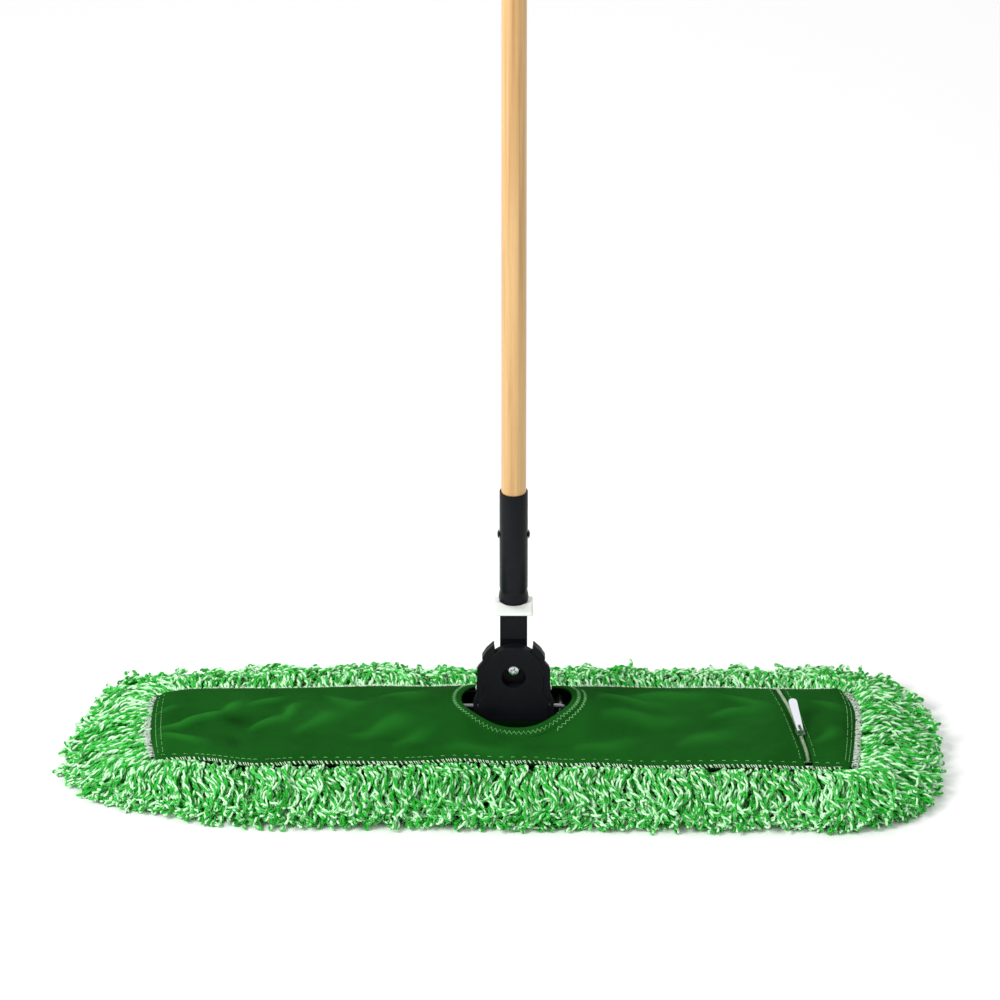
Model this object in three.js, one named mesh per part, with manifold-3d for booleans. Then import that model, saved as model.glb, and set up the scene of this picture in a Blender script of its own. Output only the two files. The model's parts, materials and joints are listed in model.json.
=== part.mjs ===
// Flat dust mop: a looped-yarn pad with a zipped pocket over a wire frame, and a wooden handle on a
// clip-on swivel head. Millimetres, +Z up. The origin is on the floor, under the handle's axis, with
// +X along the mop and +Y from its front edge to its back edge.
import * as THREE from 'three';
import { mergeVertices } from 'three/addons/utils/BufferGeometryUtils.js';
import Module from 'manifold-3d';

const wasm = await Module();
wasm.setup();

// ---------------------------------------------------------------- driving sizes
const GAP = 0.3;              // between pieces that touch

// wooden handle and its steel ferrule
const HANDLE_RADIUS = 11.9;
const HANDLE_LENGTH = 1524;
const FERRULE_WALL = 1.3;
const FERRULE_LENGTH = 114;
const FERRULE_FLARE = 0.8;    // how far the foot of the ferrule opens
const RIVET_RADIUS = 2.2;
const RIVET_ABOVE_FOOT = 68;

// swivel between the handle and the neck
const SPIGOT_RADIUS = 5.7;
const BUSH_LENGTH = 14;
const WASHER_THICK = 1.2;
const CLIP_THICK = 1.0;

// neck and its lock ring
const NECK_HALF_WIDTH = 13;
const EYE_HALF_THICK = 3;
const STEM_HALF_THICK = 5.2;
const STEM_START = 33;        // from the tilt pivot to where the neck thickens
const NECK_TOP = 73;          // from the tilt pivot to the top of the neck's stem
const DISC_THICK = 2;
const RING_WIDTH = 36.6;
const RING_DEPTH = 15;
const RING_CORNER = 2.5;
const RING_HEIGHT = 13.4;
const RING_NOTCH = 14;

// head
const ARCH_RADIUS = 29;
const BASE_HALF_WIDTH = 34;
const PIVOT_HEIGHT = 42.5;    // above the axle wire, as the three below
const BASE_HEIGHT = 15;       // up to here the base keeps its full width
const SHOULDER_HEIGHT = 21;
const SCREW_HEIGHT = 10.5;
const HEAD_DEPTH = 7.5;       // below the axle wire
const COVER_FRONT = -16;
const COVER_THICK = 3;
const COVER_RIM = 2.5;
const CHEEK_GAP = 0.4;        // each side of the neck's eye
const FRONT_CHEEK = 2.6;
const REAR_CHEEK = 4;
const LUG_RADIUS = 17;        // of both cheeks, round the pivot
const WINDOW_RADIUS = 11.8;
const WINDOW_DROP = 2.7;      // from the pivot down to the middle of the window
const BOLT_RADIUS = 3;
const BOLT_HEAD_RADIUS = 6;
const BOLT_HEAD_THICK = 2.5;
const EYE_BUSH_WALL = 1.4;
const NUT_THICK = 4.2;
const NUT_FLATS = 10;
const SCREW_RADIUS = 1.5;
const SCREW_X = 20;

// latches
const LATCH_THICK = 4;
const LATCH_ARM = 5.2;        // width of the arm beside the arch
const LATCH_FOOT = 4.2;       // width of the hook beside the base
const TAB_REACH = 37.2;       // from the pivot to the tip of a finger tab
const TAB_HEEL = 35;          // from the pivot to the tab's outer corner
const TAB_NOTCH = 32.6;       // from the pivot to the notch below the tab
const TAB_DEPTH = 9;
const PIN_RADIUS = 1.5;
const PIN_Y = -10;
const PIN_HEIGHT = 4;         // above the shoulder
const SPRING_WIRE = 0.35;
const SPRING_RADIUS = 2.3;
const SPRING_TURNS = 4;

// wire frame
const FRAME_LENGTH = 610;
const FRAME_WIDTH = 127;
const FRAME_X = -9;           // middle of the wire frame
const FRAME_CORNER = 30;
const LOOP_WIRE = 2.75;       // radius
const CROSS_WIRE = 2.25;
const AXLE_WIRE = 2.5;
const AXLE_HEIGHT = 19.2;     // above the base cloth
const CROSS_SPACING = 109;    // between the two cross wires

// pad
const PAD_LEFT = -345;
const PAD_RIGHT = 329;
const PAD_HALF_WIDTH = 78;
const PAD_CORNER = 14;
const PILE_HEIGHT = 30;
const CLOTH = 2.3;            // thickness of the quilted canvas
const POCKET_ROOM = 6.7;      // clear height of the pocket over the base cloth
const DOME_LENGTH = 300;
const DOME_WIDTH = 112;
const DOME_RISE = 18.5;
const HOLE_X = 3;
const HOLE_Y = 2.5;
const HOLE_LENGTH = 108;
const HOLE_WIDTH = 86;
const HEM_WIDTH = 9.5;
const HEM_THICK = 1.1;
const BINDING_WIDTH = 4.2;
const BINDING_HEIGHT = 8;

// zip
const ZIP_X = 267;
const ZIP_TURN = Math.atan(0.19);
const CHAIN_HALF_WIDTH = 2.7;
const CHAIN_HEIGHT = 1.8;
const TAPE_WIDTH = 4.2;
const TAPE_THICK = 1.1;
const SLIDER_Y = -37.5;       // along the zip from its middle
const SLIDER_LENGTH = 13;
const PULL_LENGTH = 40;
const PULL_WIDTH = 8.2;
const PULL_NECK = 5.8;
const PULL_THICK = 1.8;
const PULL_LIFT = THREE.MathUtils.degToRad(20);

// yarn fringe
const FRINGE_LEFT = -442;
const FRINGE_RIGHT = 415;
const FRINGE_FRONT = -168;
const FRINGE_BACK = 168;
const FRINGE_HEIGHT = 37;
const FRINGE_CORNER = 66;
const FRINGE_ROUND = 14;

// ---------------------------------------------------------------- derived sizes
const BASE_CLOTH_TOP = PILE_HEIGHT + GAP + CLOTH;
const AXLE_Z = BASE_CLOTH_TOP + AXLE_HEIGHT;
const PIVOT_Z = AXLE_Z + PIVOT_HEIGHT;
const BASE_TOP = AXLE_Z + BASE_HEIGHT;
const SHOULDER_Z = AXLE_Z + SHOULDER_HEIGHT;
const SCREW_Z = AXLE_Z + SCREW_HEIGHT;
const HEAD_BOTTOM = AXLE_Z - HEAD_DEPTH;
const BLOCK_TOP = PIVOT_Z - NECK_HALF_WIDTH - 0.7;
const PIN_Z = SHOULDER_Z + PIN_HEIGHT;
const LOOP_Z = BASE_CLOTH_TOP + 0.6 + LOOP_WIRE;
const POCKET_TOP = BASE_CLOTH_TOP + POCKET_ROOM + CLOTH;
const EYE_SIDE = EYE_HALF_THICK + CHEEK_GAP;
const COVER_BACK = COVER_FRONT + COVER_THICK;
const REAR_FACE = EYE_SIDE + REAR_CHEEK;
const STEM_TOP = PIVOT_Z + NECK_TOP;
const FERRULE_FOOT = STEM_TOP + DISC_THICK + GAP;
const FERRULE_BORE = HANDLE_RADIUS + GAP;
const FERRULE_RADIUS = FERRULE_BORE + FERRULE_WALL;
const BUSH_FOOT = FERRULE_FOOT + 0.5;
const BUSH_TOP = BUSH_FOOT + BUSH_LENGTH;
const CLIP_Z = BUSH_TOP + GAP + WASHER_THICK + GAP;
const SPIGOT_TOP = CLIP_Z + CLIP_THICK + 3;
const SHAFT_FOOT = SPIGOT_TOP + 3;
const ZIP_GAP = GAP + TAPE_WIDTH + GAP;
const PULL_HINGE_Z = POCKET_TOP + 4.2;

// ---------------------------------------------------------------- shape tools
/** A closed three.js geometry as a solid that can be joined and cut. */
function solid(geometry) {
  const bare = geometry.clone();
  for (const name of ['normal', 'uv', 'color']) bare.deleteAttribute(name);
  const merged = mergeVertices(bare, 1e-4);
  const index = merged.index.array;
  const triangles = [];
  for (let i = 0; i < index.length; i += 3) {
    const [a, b, c] = [index[i], index[i + 1], index[i + 2]];
    if (a !== b && b !== c && c !== a) triangles.push(a, b, c);
  }
  return new wasm.Manifold(new wasm.Mesh({
    numProp: 3,
    vertProperties: new Float32Array(merged.attributes.position.array),
    triVerts: new Uint32Array(triangles),
  }));
}

/** The three.js geometry of a solid. */
function geometryOf(body) {
  const mesh = body.getMesh();
  const geometry = new THREE.BufferGeometry();
  geometry.setAttribute('position', new THREE.BufferAttribute(new Float32Array(mesh.vertProperties), 3));
  geometry.setIndex(new THREE.BufferAttribute(new Uint32Array(mesh.triVerts), 1));
  return geometry;
}

const joined = (first, ...more) => more.reduce((all, one) => all.add(one), first);
const cutBy = (body, ...tools) => tools.reduce((rest, tool) => rest.subtract(tool), body);

/** A block between two corners. */
function block(x0, x1, y0, y1, z0, z1) {
  const box = new THREE.BoxGeometry(x1 - x0, y1 - y0, z1 - z0);
  return solid(box.translate((x0 + x1) / 2, (y0 + y1) / 2, (z0 + z1) / 2));
}

/** A shape drawn in X and Z, as a plate from yFront to yBack. */
function plate(shape, yFront, yBack, segments = 12) {
  const options = { depth: yBack - yFront, bevelEnabled: false, curveSegments: segments };
  return solid(new THREE.ExtrudeGeometry(shape, options).rotateX(Math.PI / 2).translate(0, yBack, 0));
}

/** A shape drawn in X and Y, as a slab from z0 to z1. */
function slab(shape, z0, z1, segments = 12) {
  const options = { depth: z1 - z0, bevelEnabled: false, curveSegments: segments };
  return solid(new THREE.ExtrudeGeometry(shape, options).translate(0, 0, z0));
}

/** A round rod along 'x', 'y' or 'z', from one end to the other, centred on the other two places. */
function rod(axis, radius, from, to, across = [0, 0], sides = 24) {
  const cylinder = new THREE.CylinderGeometry(radius, radius, to - from, sides);
  const middle = (from + to) / 2;
  if (axis === 'x') return solid(cylinder.rotateZ(-Math.PI / 2).translate(middle, across[0], across[1]));
  if (axis === 'y') return solid(cylinder.translate(across[0], middle, across[1]));
  return solid(cylinder.rotateX(Math.PI / 2).translate(across[0], across[1], middle));
}

/** A profile of [radius, height] turned about 'x', 'y' or 'z'; it ends on the axis or closes on itself. */
function turned(axis, profile, sides = 32) {
  const lathe = new THREE.LatheGeometry(profile.map(([r, h]) => new THREE.Vector2(r, h)), sides);
  if (axis === 'x') lathe.rotateZ(-Math.PI / 2);
  if (axis === 'z') lathe.rotateX(Math.PI / 2);
  const body = solid(lathe);
  return body.volume() < 0 ? solid(flipped(lathe)) : body;
}

/** The same geometry with its faces turned over. */
function flipped(geometry) {
  const index = geometry.index.array.slice();
  for (let i = 0; i < index.length; i += 3) [index[i], index[i + 1]] = [index[i + 1], index[i]];
  const copy = geometry.clone();
  copy.setIndex(new THREE.BufferAttribute(index, 1));
  return copy;
}

/** A round wire along a curve. */
function wire(path, radius, steps, sides = 8) {
  const section = new THREE.Shape().absarc(0, 0, radius, 0, 2 * Math.PI);
  const options = { steps, extrudePath: path, curveSegments: sides / 2 };
  return solid(new THREE.ExtrudeGeometry(section, options));
}

/** A rectangle with round corners, centred on (x, y). */
function roundedRect(width, depth, radius, x = 0, y = 0) {
  const [l, r, b, t] = [x - width / 2, x + width / 2, y - depth / 2, y + depth / 2];
  const shape = new THREE.Shape();
  shape.moveTo(l + radius, b).lineTo(r - radius, b);
  shape.absarc(r - radius, b + radius, radius, -Math.PI / 2, 0);
  shape.absarc(r - radius, t - radius, radius, 0, Math.PI / 2);
  shape.absarc(l + radius, t - radius, radius, Math.PI / 2, Math.PI);
  shape.absarc(l + radius, b + radius, radius, Math.PI, 1.5 * Math.PI);
  return shape;
}

const ellipse = (x, y, halfLength, halfWidth) =>
  new THREE.Shape().absellipse(x, y, halfLength, halfWidth, 0, 2 * Math.PI);

const outline = (points) => new THREE.Shape(points.map(([x, y]) => new THREE.Vector2(x, y)));

// ---------------------------------------------------------------- finishes
const FINISH = {
  wood: { color: 0xd9a566, roughness: 0.35, metalness: 0 },
  blackSteel: { color: 0x15151a, roughness: 0.35, metalness: 0.4 },
  blackPlastic: { color: 0x17181d, roughness: 0.5, metalness: 0 },
  nylon: { color: 0xeeebe0, roughness: 0.45, metalness: 0 },
  zinc: { color: 0xc9ccd0, roughness: 0.3, metalness: 0.9 },
  canvas: { color: 0x226822, roughness: 0.9, metalness: 0 },
  hem: { color: 0x266e26, roughness: 0.9, metalness: 0 },
  serging: { color: 0xc9cfc4, roughness: 0.95, metalness: 0 },
  yarn: { color: 0x62b866, roughness: 0.95, metalness: 0 },
  zipper: { color: 0xe6ecd0, roughness: 0.7, metalness: 0 },
  tape: { color: 0x1e601e, roughness: 0.9, metalness: 0 },
  pull: { color: 0xe9e6f2, roughness: 0.4, metalness: 0 },
};

/** A named mesh of one finish. */
function piece(name, body, finish) {
  const mesh = new THREE.Mesh(geometryOf(body), new THREE.MeshStandardMaterial(FINISH[finish]));
  mesh.name = name;
  return mesh;
}

// ---------------------------------------------------------------- handle
function handleShaft() {
  const top = SHAFT_FOOT + HANDLE_LENGTH;
  const dome = [];
  for (let i = 0; i <= 6; i += 1) {
    const turn = (i / 6) * Math.PI / 2;
    dome.push([HANDLE_RADIUS * Math.cos(turn), top - HANDLE_RADIUS + HANDLE_RADIUS * Math.sin(turn)]);
  }
  dome[dome.length - 1][0] = 0;
  const stick = turned('z', [[0, SHAFT_FOOT], [HANDLE_RADIUS - 1, SHAFT_FOOT],
    [HANDLE_RADIUS, SHAFT_FOOT + 1], ...dome], 40);
  return cutBy(stick, rivetHole());
}

const rivetHole = () =>
  rod('x', RIVET_RADIUS + GAP, -FERRULE_RADIUS - 5, FERRULE_RADIUS + 5, [0, FERRULE_FOOT + RIVET_ABOVE_FOOT]);

function ferrule() {
  const [foot, top] = [FERRULE_FOOT, FERRULE_FOOT + FERRULE_LENGTH];
  const waist = FERRULE_RADIUS - 0.4;
  const tube = turned('z', [
    [FERRULE_RADIUS + FERRULE_FLARE, foot], [FERRULE_RADIUS + FERRULE_FLARE, foot + 1.6],
    [waist + 0.5, foot + 6.5], [waist, foot + 9], [FERRULE_RADIUS, foot + 13], [FERRULE_RADIUS, top - 0.4],
    [FERRULE_RADIUS - 0.4, top], [FERRULE_BORE, top], [FERRULE_BORE, foot + 7],
    [FERRULE_BORE + FERRULE_FLARE - 0.4, foot + 1], [FERRULE_BORE + FERRULE_FLARE, foot],
    [FERRULE_RADIUS + FERRULE_FLARE, foot]], 32);
  return cutBy(tube, rivetHole());
}

/** A rivet across the ferrule, with a low round head at each side. */
function handleRivet() {
  const seat = FERRULE_RADIUS + GAP;
  const head = RIVET_RADIUS * 1.9;
  const half = [[RIVET_RADIUS, seat], [head, seat], [head * 0.85, seat + 0.9],
    [head * 0.45, seat + 1.6], [0, seat + 1.8]];
  const other = half.slice().reverse().map(([r, h]) => [r, -h]);
  const place = new THREE.Matrix4().makeTranslation(0, 0, FERRULE_FOOT + RIVET_ABOVE_FOOT);
  return turned('x', [...other, ...half], 20).transform(place.toArray());
}

// ---------------------------------------------------------------- swivel
function swivelBush() {
  const outer = rod('z', HANDLE_RADIUS, BUSH_FOOT, BUSH_TOP, [0, 0], 40);
  return cutBy(outer, rod('z', SPIGOT_RADIUS + GAP, BUSH_FOOT - 1, BUSH_TOP + 1));
}

function swivelWasher() {
  const z = BUSH_TOP + GAP;
  const outer = rod('z', HANDLE_RADIUS - 2.5, z, z + WASHER_THICK);
  return cutBy(outer, rod('z', SPIGOT_RADIUS + GAP, z - 1, z + WASHER_THICK + 1));
}

/** A spring clip in the spigot's groove, open at one side. */
function swivelClip() {
  const groove = SPIGOT_RADIUS - 1;
  const z = CLIP_Z;
  const ring = cutBy(rod('z', SPIGOT_RADIUS + 2, z, z + CLIP_THICK),
    rod('z', groove + GAP, z - 1, z + CLIP_THICK + 1));
  return cutBy(ring, block(-3, 3, -SPIGOT_RADIUS - 3, 0, z - 1, z + CLIP_THICK + 1));
}

// ---------------------------------------------------------------- neck
function neck() {
  const w = NECK_HALF_WIDTH;
  const eyeShape = new THREE.Shape();
  eyeShape.moveTo(w, PIVOT_Z).lineTo(w, PIVOT_Z + STEM_START + 4).lineTo(-w, PIVOT_Z + STEM_START + 4);
  eyeShape.lineTo(-w, PIVOT_Z).absarc(0, PIVOT_Z, w, Math.PI, 2 * Math.PI);
  const eye = plate(eyeShape, -EYE_HALF_THICK, EYE_HALF_THICK);
  const stem = slab(roundedRect(2 * w, 2 * STEM_HALF_THICK, 2), PIVOT_Z + STEM_START, STEM_TOP + 0.5, 4);
  const disc = rod('z', FERRULE_RADIUS + FERRULE_FLARE - 0.6, STEM_TOP, STEM_TOP + DISC_THICK, [0, 0], 40);
  const tongueHalf = RING_NOTCH / 2 - GAP;
  const tongue = block(-tongueHalf, tongueHalf, -RING_DEPTH / 2 + 0.2, 0, STEM_TOP - 2.1, STEM_TOP + 0.5);
  const spigot = rod('z', SPIGOT_RADIUS, STEM_TOP, SPIGOT_TOP);
  const groove = cutBy(rod('z', SPIGOT_RADIUS + 2, CLIP_Z - GAP, CLIP_Z + CLIP_THICK + GAP),
    rod('z', SPIGOT_RADIUS - 1, CLIP_Z - 2, CLIP_Z + CLIP_THICK + 2));
  const bore = rod('y', BOLT_RADIUS + GAP + EYE_BUSH_WALL + GAP, -9, 9, [0, PIVOT_Z]);
  return cutBy(joined(eye, stem, disc, tongue, spigot), groove, bore);
}

function eyeBush() {
  const half = EYE_HALF_THICK - 0.1;
  const outer = rod('y', BOLT_RADIUS + GAP + EYE_BUSH_WALL, -half, half, [0, PIVOT_Z]);
  return cutBy(outer, rod('y', BOLT_RADIUS + GAP, -9, 9, [0, PIVOT_Z]));
}

/** A nylon collar that slides on the neck, with a foot lip and a notch for the neck's tongue. */
function lockRing() {
  const top = STEM_TOP - GAP;
  const foot = top - RING_HEIGHT;
  const body = slab(roundedRect(RING_WIDTH, RING_DEPTH, RING_CORNER), foot, top, 8);
  const lip = slab(roundedRect(RING_WIDTH + 1, RING_DEPTH + 1, RING_CORNER), foot, foot + 2.3, 8);
  const passage = roundedRect(2 * (NECK_HALF_WIDTH + GAP), 2 * (STEM_HALF_THICK + GAP), 2);
  const bore = slab(passage, foot - 1, top + 1, 4);
  const notch = block(-RING_NOTCH / 2, RING_NOTCH / 2, -RING_DEPTH, -STEM_HALF_THICK, top - 2.1, top + 1);
  return cutBy(joined(body, lip), bore, notch);
}

// ---------------------------------------------------------------- head
/** The head's face: a base with sloping shoulders under a round arch. */
function headShape(topRadius = ARCH_RADIUS) {
  const shape = new THREE.Shape();
  const b = BASE_HALF_WIDTH;
  shape.moveTo(-b + 3, HEAD_BOTTOM).lineTo(b - 3, HEAD_BOTTOM).lineTo(b, HEAD_BOTTOM + 3).lineTo(b, BASE_TOP);
  shape.lineTo(topRadius, SHOULDER_Z).lineTo(topRadius, PIVOT_Z);
  shape.absarc(0, PIVOT_Z, topRadius, 0, Math.PI);
  shape.lineTo(-topRadius, SHOULDER_Z).lineTo(-b, BASE_TOP).lineTo(-b, HEAD_BOTTOM + 3);
  return shape;
}

/** The slot under the head that drops over the axle wire. */
function axleSlot() {
  const half = AXLE_WIRE + 0.4;
  const reach = BASE_HALF_WIDTH + 1;
  return joined(rod('x', half, -reach, reach, [0, AXLE_Z]),
    block(-reach, reach, -half, half, HEAD_BOTTOM - 1, AXLE_Z));
}

const boltBore = (radius = BOLT_RADIUS + GAP) => rod('y', radius, -30, 30, [0, PIVOT_Z]);
const screwBore = (side, from, to) => rod('y', SCREW_RADIUS + GAP, from, to, [side * SCREW_X, SCREW_Z], 16);

/** Fork and base of the head: two cheeks for the neck's eye on a block that sits on the axle wire. */
function headBody() {
  const blockFront = COVER_BACK + GAP;
  const across = [-BASE_HALF_WIDTH - 1, BASE_HALF_WIDTH + 1];
  const above = [BLOCK_TOP, PIVOT_Z + ARCH_RADIUS + 1];
  const base = cutBy(plate(headShape(), blockFront, REAR_FACE),
    block(...across, blockFront - 1, REAR_FACE + 1, ...above));
  const lug = new THREE.Shape().moveTo(-LUG_RADIUS, BLOCK_TOP - 1).lineTo(LUG_RADIUS, BLOCK_TOP - 1);
  lug.lineTo(LUG_RADIUS, PIVOT_Z).absarc(0, PIVOT_Z, LUG_RADIUS, 0, Math.PI);
  const cheeks = plate(lug, -EYE_SIDE - FRONT_CHEEK, REAR_FACE, 24);
  const neckRoom = block(...across, -EYE_SIDE, EYE_SIDE, ...above);
  const tools = [neckRoom, axleSlot(), boltBore()];
  for (const side of [-1, 1]) {
    tools.push(screwBore(side, blockFront - 1, REAR_FACE + 1));
    const [near, far] = [ARCH_RADIUS - 7, ARCH_RADIUS + 1];
    tools.push(sideRod(side, PIN_RADIUS + GAP, near, far));
    tools.push(sideRod(side, SPRING_RADIUS + SPRING_WIRE + GAP, near + 2.5, far));
  }
  return cutBy(joined(base, cheeks), ...tools);
}

/** A rod along the latch pin's line, between two distances from the middle of the head. */
function sideRod(side, radius, near, far) {
  const [from, to] = side > 0 ? [near, far] : [-far, -near];
  return rod('x', radius, from, to, [PIN_Y, PIN_Z], 16);
}

/** Front cover: a plate with a rim round its arch, a window over the bolt and an undercut foot. */
function frontCover() {
  const face = plate(headShape(), COVER_FRONT, COVER_BACK);
  const rimBack = -EYE_SIDE - FRONT_CHEEK - GAP;
  const rim = cutBy(plate(headShape(), COVER_BACK - 0.5, rimBack),
    plate(headShape(ARCH_RADIUS - COVER_RIM), COVER_BACK - 1, rimBack + 1),
    block(-40, 40, -30, 30, HEAD_BOTTOM - 1, BLOCK_TOP + GAP));
  const window = rod('y', WINDOW_RADIUS, COVER_FRONT - 1, COVER_BACK + 1, [0, PIVOT_Z - WINDOW_DROP], 40);
  const undercut = new THREE.BoxGeometry(80, 10, 40).translate(0, -5, -20).rotateX(-0.36);
  const foot = solid(undercut.translate(0, COVER_FRONT, HEAD_BOTTOM + 11));
  return cutBy(joined(face, rim), window, foot, screwBore(-1, -15, 0), screwBore(1, -15, 0));
}

/** Pan head bolt with a cross recess. */
function pivotBolt() {
  const seat = -EYE_SIDE - FRONT_CHEEK - GAP;
  const [r, t] = [BOLT_HEAD_RADIUS, BOLT_HEAD_THICK];
  const end = REAR_FACE + 2 + NUT_THICK + 1.2;
  const place = new THREE.Matrix4().makeTranslation(0, 0, PIVOT_Z);
  const profile = [[0, seat - t], [r * 0.55, seat - t], [r * 0.86, seat - t * 0.8], [r, seat - t * 0.4],
    [r, seat], [BOLT_RADIUS, seat], [BOLT_RADIUS, end - 0.6], [BOLT_RADIUS - 0.6, end], [0, end]];
  const body = turned('y', profile, 24).transform(place.toArray());
  const arm = r * 0.55;
  const slotDepth = seat - t + 1.3;
  return cutBy(body, block(-arm, arm, seat - t - 1, slotDepth, PIVOT_Z - 0.6, PIVOT_Z + 0.6),
    block(-0.6, 0.6, seat - t - 1, slotDepth, PIVOT_Z - arm, PIVOT_Z + arm));
}

function pivotWasher() {
  return cutBy(rod('y', BOLT_RADIUS + 3.5, REAR_FACE + GAP, REAR_FACE + GAP + 1, [0, PIVOT_Z]), boltBore());
}

function pivotNut() {
  const front = REAR_FACE + 2 * GAP + 1;
  const hexagon = rod('y', NUT_FLATS / Math.sqrt(3), front, front + NUT_THICK, [0, PIVOT_Z], 6);
  return cutBy(hexagon, boltBore());
}

function coverScrew(side) {
  const seat = REAR_FACE + GAP;
  const place = new THREE.Matrix4().makeTranslation(side * SCREW_X, 0, SCREW_Z);
  const tip = COVER_FRONT + 1.5;
  const profile = [[0, tip], [SCREW_RADIUS, tip + 1], [SCREW_RADIUS, seat], [3.1, seat], [3.1, seat + 1],
    [2.2, seat + 1.9], [0, seat + 2]];
  const body = turned('y', profile, 16).transform(place.toArray());
  const [x, z] = [side * SCREW_X, SCREW_Z];
  return cutBy(body, block(x - 1.7, x + 1.7, seat + 1.1, seat + 3, z - 0.35, z + 0.35),
    block(x - 0.35, x + 0.35, seat + 1.1, seat + 3, z - 1.7, z + 1.7));
}

// ---------------------------------------------------------------- latches
/** One latch: finger tab beside the arch, arm down its side, hook under the axle wire. */
function latch(side) {
  const inner = ARCH_RADIUS + 0.8;
  const outer = inner + LATCH_ARM;
  const foot = BASE_HALF_WIDTH + 0.4;
  const toe = foot + LATCH_FOOT;
  const sole = AXLE_Z - AXLE_WIRE - 4;
  const at = (radius, degrees) => {
    const turn = THREE.MathUtils.degToRad(degrees);
    return [radius * Math.cos(turn), PIVOT_Z + radius * Math.sin(turn)];
  };
  const tab = [at(TAB_NOTCH, 26), at(TAB_HEEL, 31), at(TAB_REACH, 58.5), at(TAB_REACH - 1, 60),
    at(inner + 0.4, 53), at(inner + 0.4, 40), at(inner + 0.4, 26)];
  const mirrored = (points) => outline(points.map(([x, z]) => [side * x, z]));
  const arm = mirrored([[foot, sole], [toe, sole], [toe, BASE_TOP - 4], [outer, SHOULDER_Z + 2],
    [outer, PIVOT_Z + 5], [outer - 1.5, PIVOT_Z + 9], ...tab, [inner, PIVOT_Z + 4],
    [inner, SHOULDER_Z], [foot, BASE_TOP]]);
  const front = COVER_FRONT + 0.5;
  const span = (near, far) => [Math.min(side * near, side * far), Math.max(side * near, side * far)];
  const body = joined(
    plate(arm, front, front + LATCH_THICK),
    plate(mirrored(tab), front + 1, front + TAB_DEPTH),
    block(...span(inner, outer), front + 1, PIN_Y + 3, SHOULDER_Z + GAP, PIN_Z + 4.5),
    block(...span(foot, toe), front + 1, AXLE_WIRE - 1, sole, sole + 3.4));
  return cutBy(body, sideRod(side, PIN_RADIUS + GAP, inner - 2, outer + 2));
}

function latchPin(side) {
  const inner = ARCH_RADIUS + 0.8;
  const cap = inner + LATCH_ARM + GAP;
  const pin = sideRod(side, PIN_RADIUS, ARCH_RADIUS - 6.5, cap + 0.5);
  return joined(pin, sideRod(side, PIN_RADIUS + 0.9, cap, cap + 1));
}

/** A torsion spring round the latch pin. */
function latchSpring(side) {
  const near = ARCH_RADIUS - 4;
  const length = 3.6;
  const points = [];
  for (let i = 0; i <= SPRING_TURNS * 10; i += 1) {
    const turn = (i / 10) * 2 * Math.PI;
    const x = side * (near + 0.4 + length * i / (SPRING_TURNS * 10));
    const [y, z] = [PIN_Y + SPRING_RADIUS * Math.cos(turn), PIN_Z + SPRING_RADIUS * Math.sin(turn)];
    points.push(new THREE.Vector3(x, y, z));
  }
  return wire(new THREE.CatmullRomCurve3(points), SPRING_WIRE, SPRING_TURNS * 8, 6);
}

// ---------------------------------------------------------------- wire frame
/** The outer wire, a long loop whose ends butt in the middle of its back side. */
function outerWire() {
  const [hx, hy] = [FRAME_LENGTH / 2 - LOOP_WIRE, FRAME_WIDTH / 2 - LOOP_WIRE];
  const at = (x, y) => new THREE.Vector3(FRAME_X + x, y, LOOP_Z);
  const path = new THREE.CurvePath();
  const r = FRAME_CORNER;
  const corner = (sx, sy, first) => {
    const alongX = at(sx * (hx - r), sy * hy);
    const alongY = at(sx * hx, sy * (hy - r));
    const [a, b] = first === 'x' ? [alongX, alongY] : [alongY, alongX];
    path.add(new THREE.LineCurve3(last, a));
    path.add(new THREE.QuadraticBezierCurve3(a, at(sx * hx, sy * hy), b));
    return b;
  };
  let last = at(GAP / 2, hy);
  last = corner(1, 1, 'x');
  last = corner(1, -1, 'y');
  last = corner(-1, -1, 'x');
  last = corner(-1, 1, 'y');
  path.add(new THREE.LineCurve3(last, at(-GAP / 2, hy)));
  return wire(path, LOOP_WIRE, 84);
}

const crossX = (side) => FRAME_X + side * CROSS_SPACING / 2;
const EYE_TURN = AXLE_WIRE + CROSS_WIRE + GAP;   // radius of the axle's end eye

/** A cross wire, arched up from the front side of the loop to its back side under the axle wire. */
function crossWire(side) {
  const end = FRAME_WIDTH / 2 - 2 * LOOP_WIRE - GAP;
  const top = AXLE_Z - EYE_TURN;
  const rise = top - LOOP_Z;
  const half = [[end, 0], [end * 0.86, 0.04], [end * 0.6, 0.5], [end * 0.34, 0.88], [end * 0.14, 1]];
  const points = [...half.map(([y, k]) => [-y, k]), ...half.slice().reverse()];
  const at = ([y, k]) => new THREE.Vector3(crossX(side), y, LOOP_Z + rise * k);
  const path = new THREE.CatmullRomCurve3(points.map(at));
  return wire(path, CROSS_WIRE, 24);
}

/** The axle wire, with an eye at each end bent down round a cross wire. */
function axleWire() {
  const z = AXLE_Z - EYE_TURN;
  const points = [];
  const eye = (side, turns) => turns.forEach((degrees) => {
    const turn = THREE.MathUtils.degToRad(degrees);
    const x = crossX(side) + side * EYE_TURN * Math.sin(turn);
    points.push(new THREE.Vector3(x, 0, z + EYE_TURN * Math.cos(turn)));
  });
  const turns = [0, 30, 60, 90, 120, 150, 180, 210, 235];
  eye(-1, turns.slice().reverse());
  for (let i = 1; i < 8; i += 1) {
    points.push(new THREE.Vector3(THREE.MathUtils.lerp(crossX(-1), crossX(1), i / 8), 0, AXLE_Z));
  }
  eye(1, turns);
  return wire(new THREE.CatmullRomCurve3(points, false, 'centripetal'), AXLE_WIRE, 56, 10);
}

// ---------------------------------------------------------------- pad
const padMiddle = (PAD_LEFT + PAD_RIGHT) / 2;
const padLength = PAD_RIGHT - PAD_LEFT;

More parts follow.
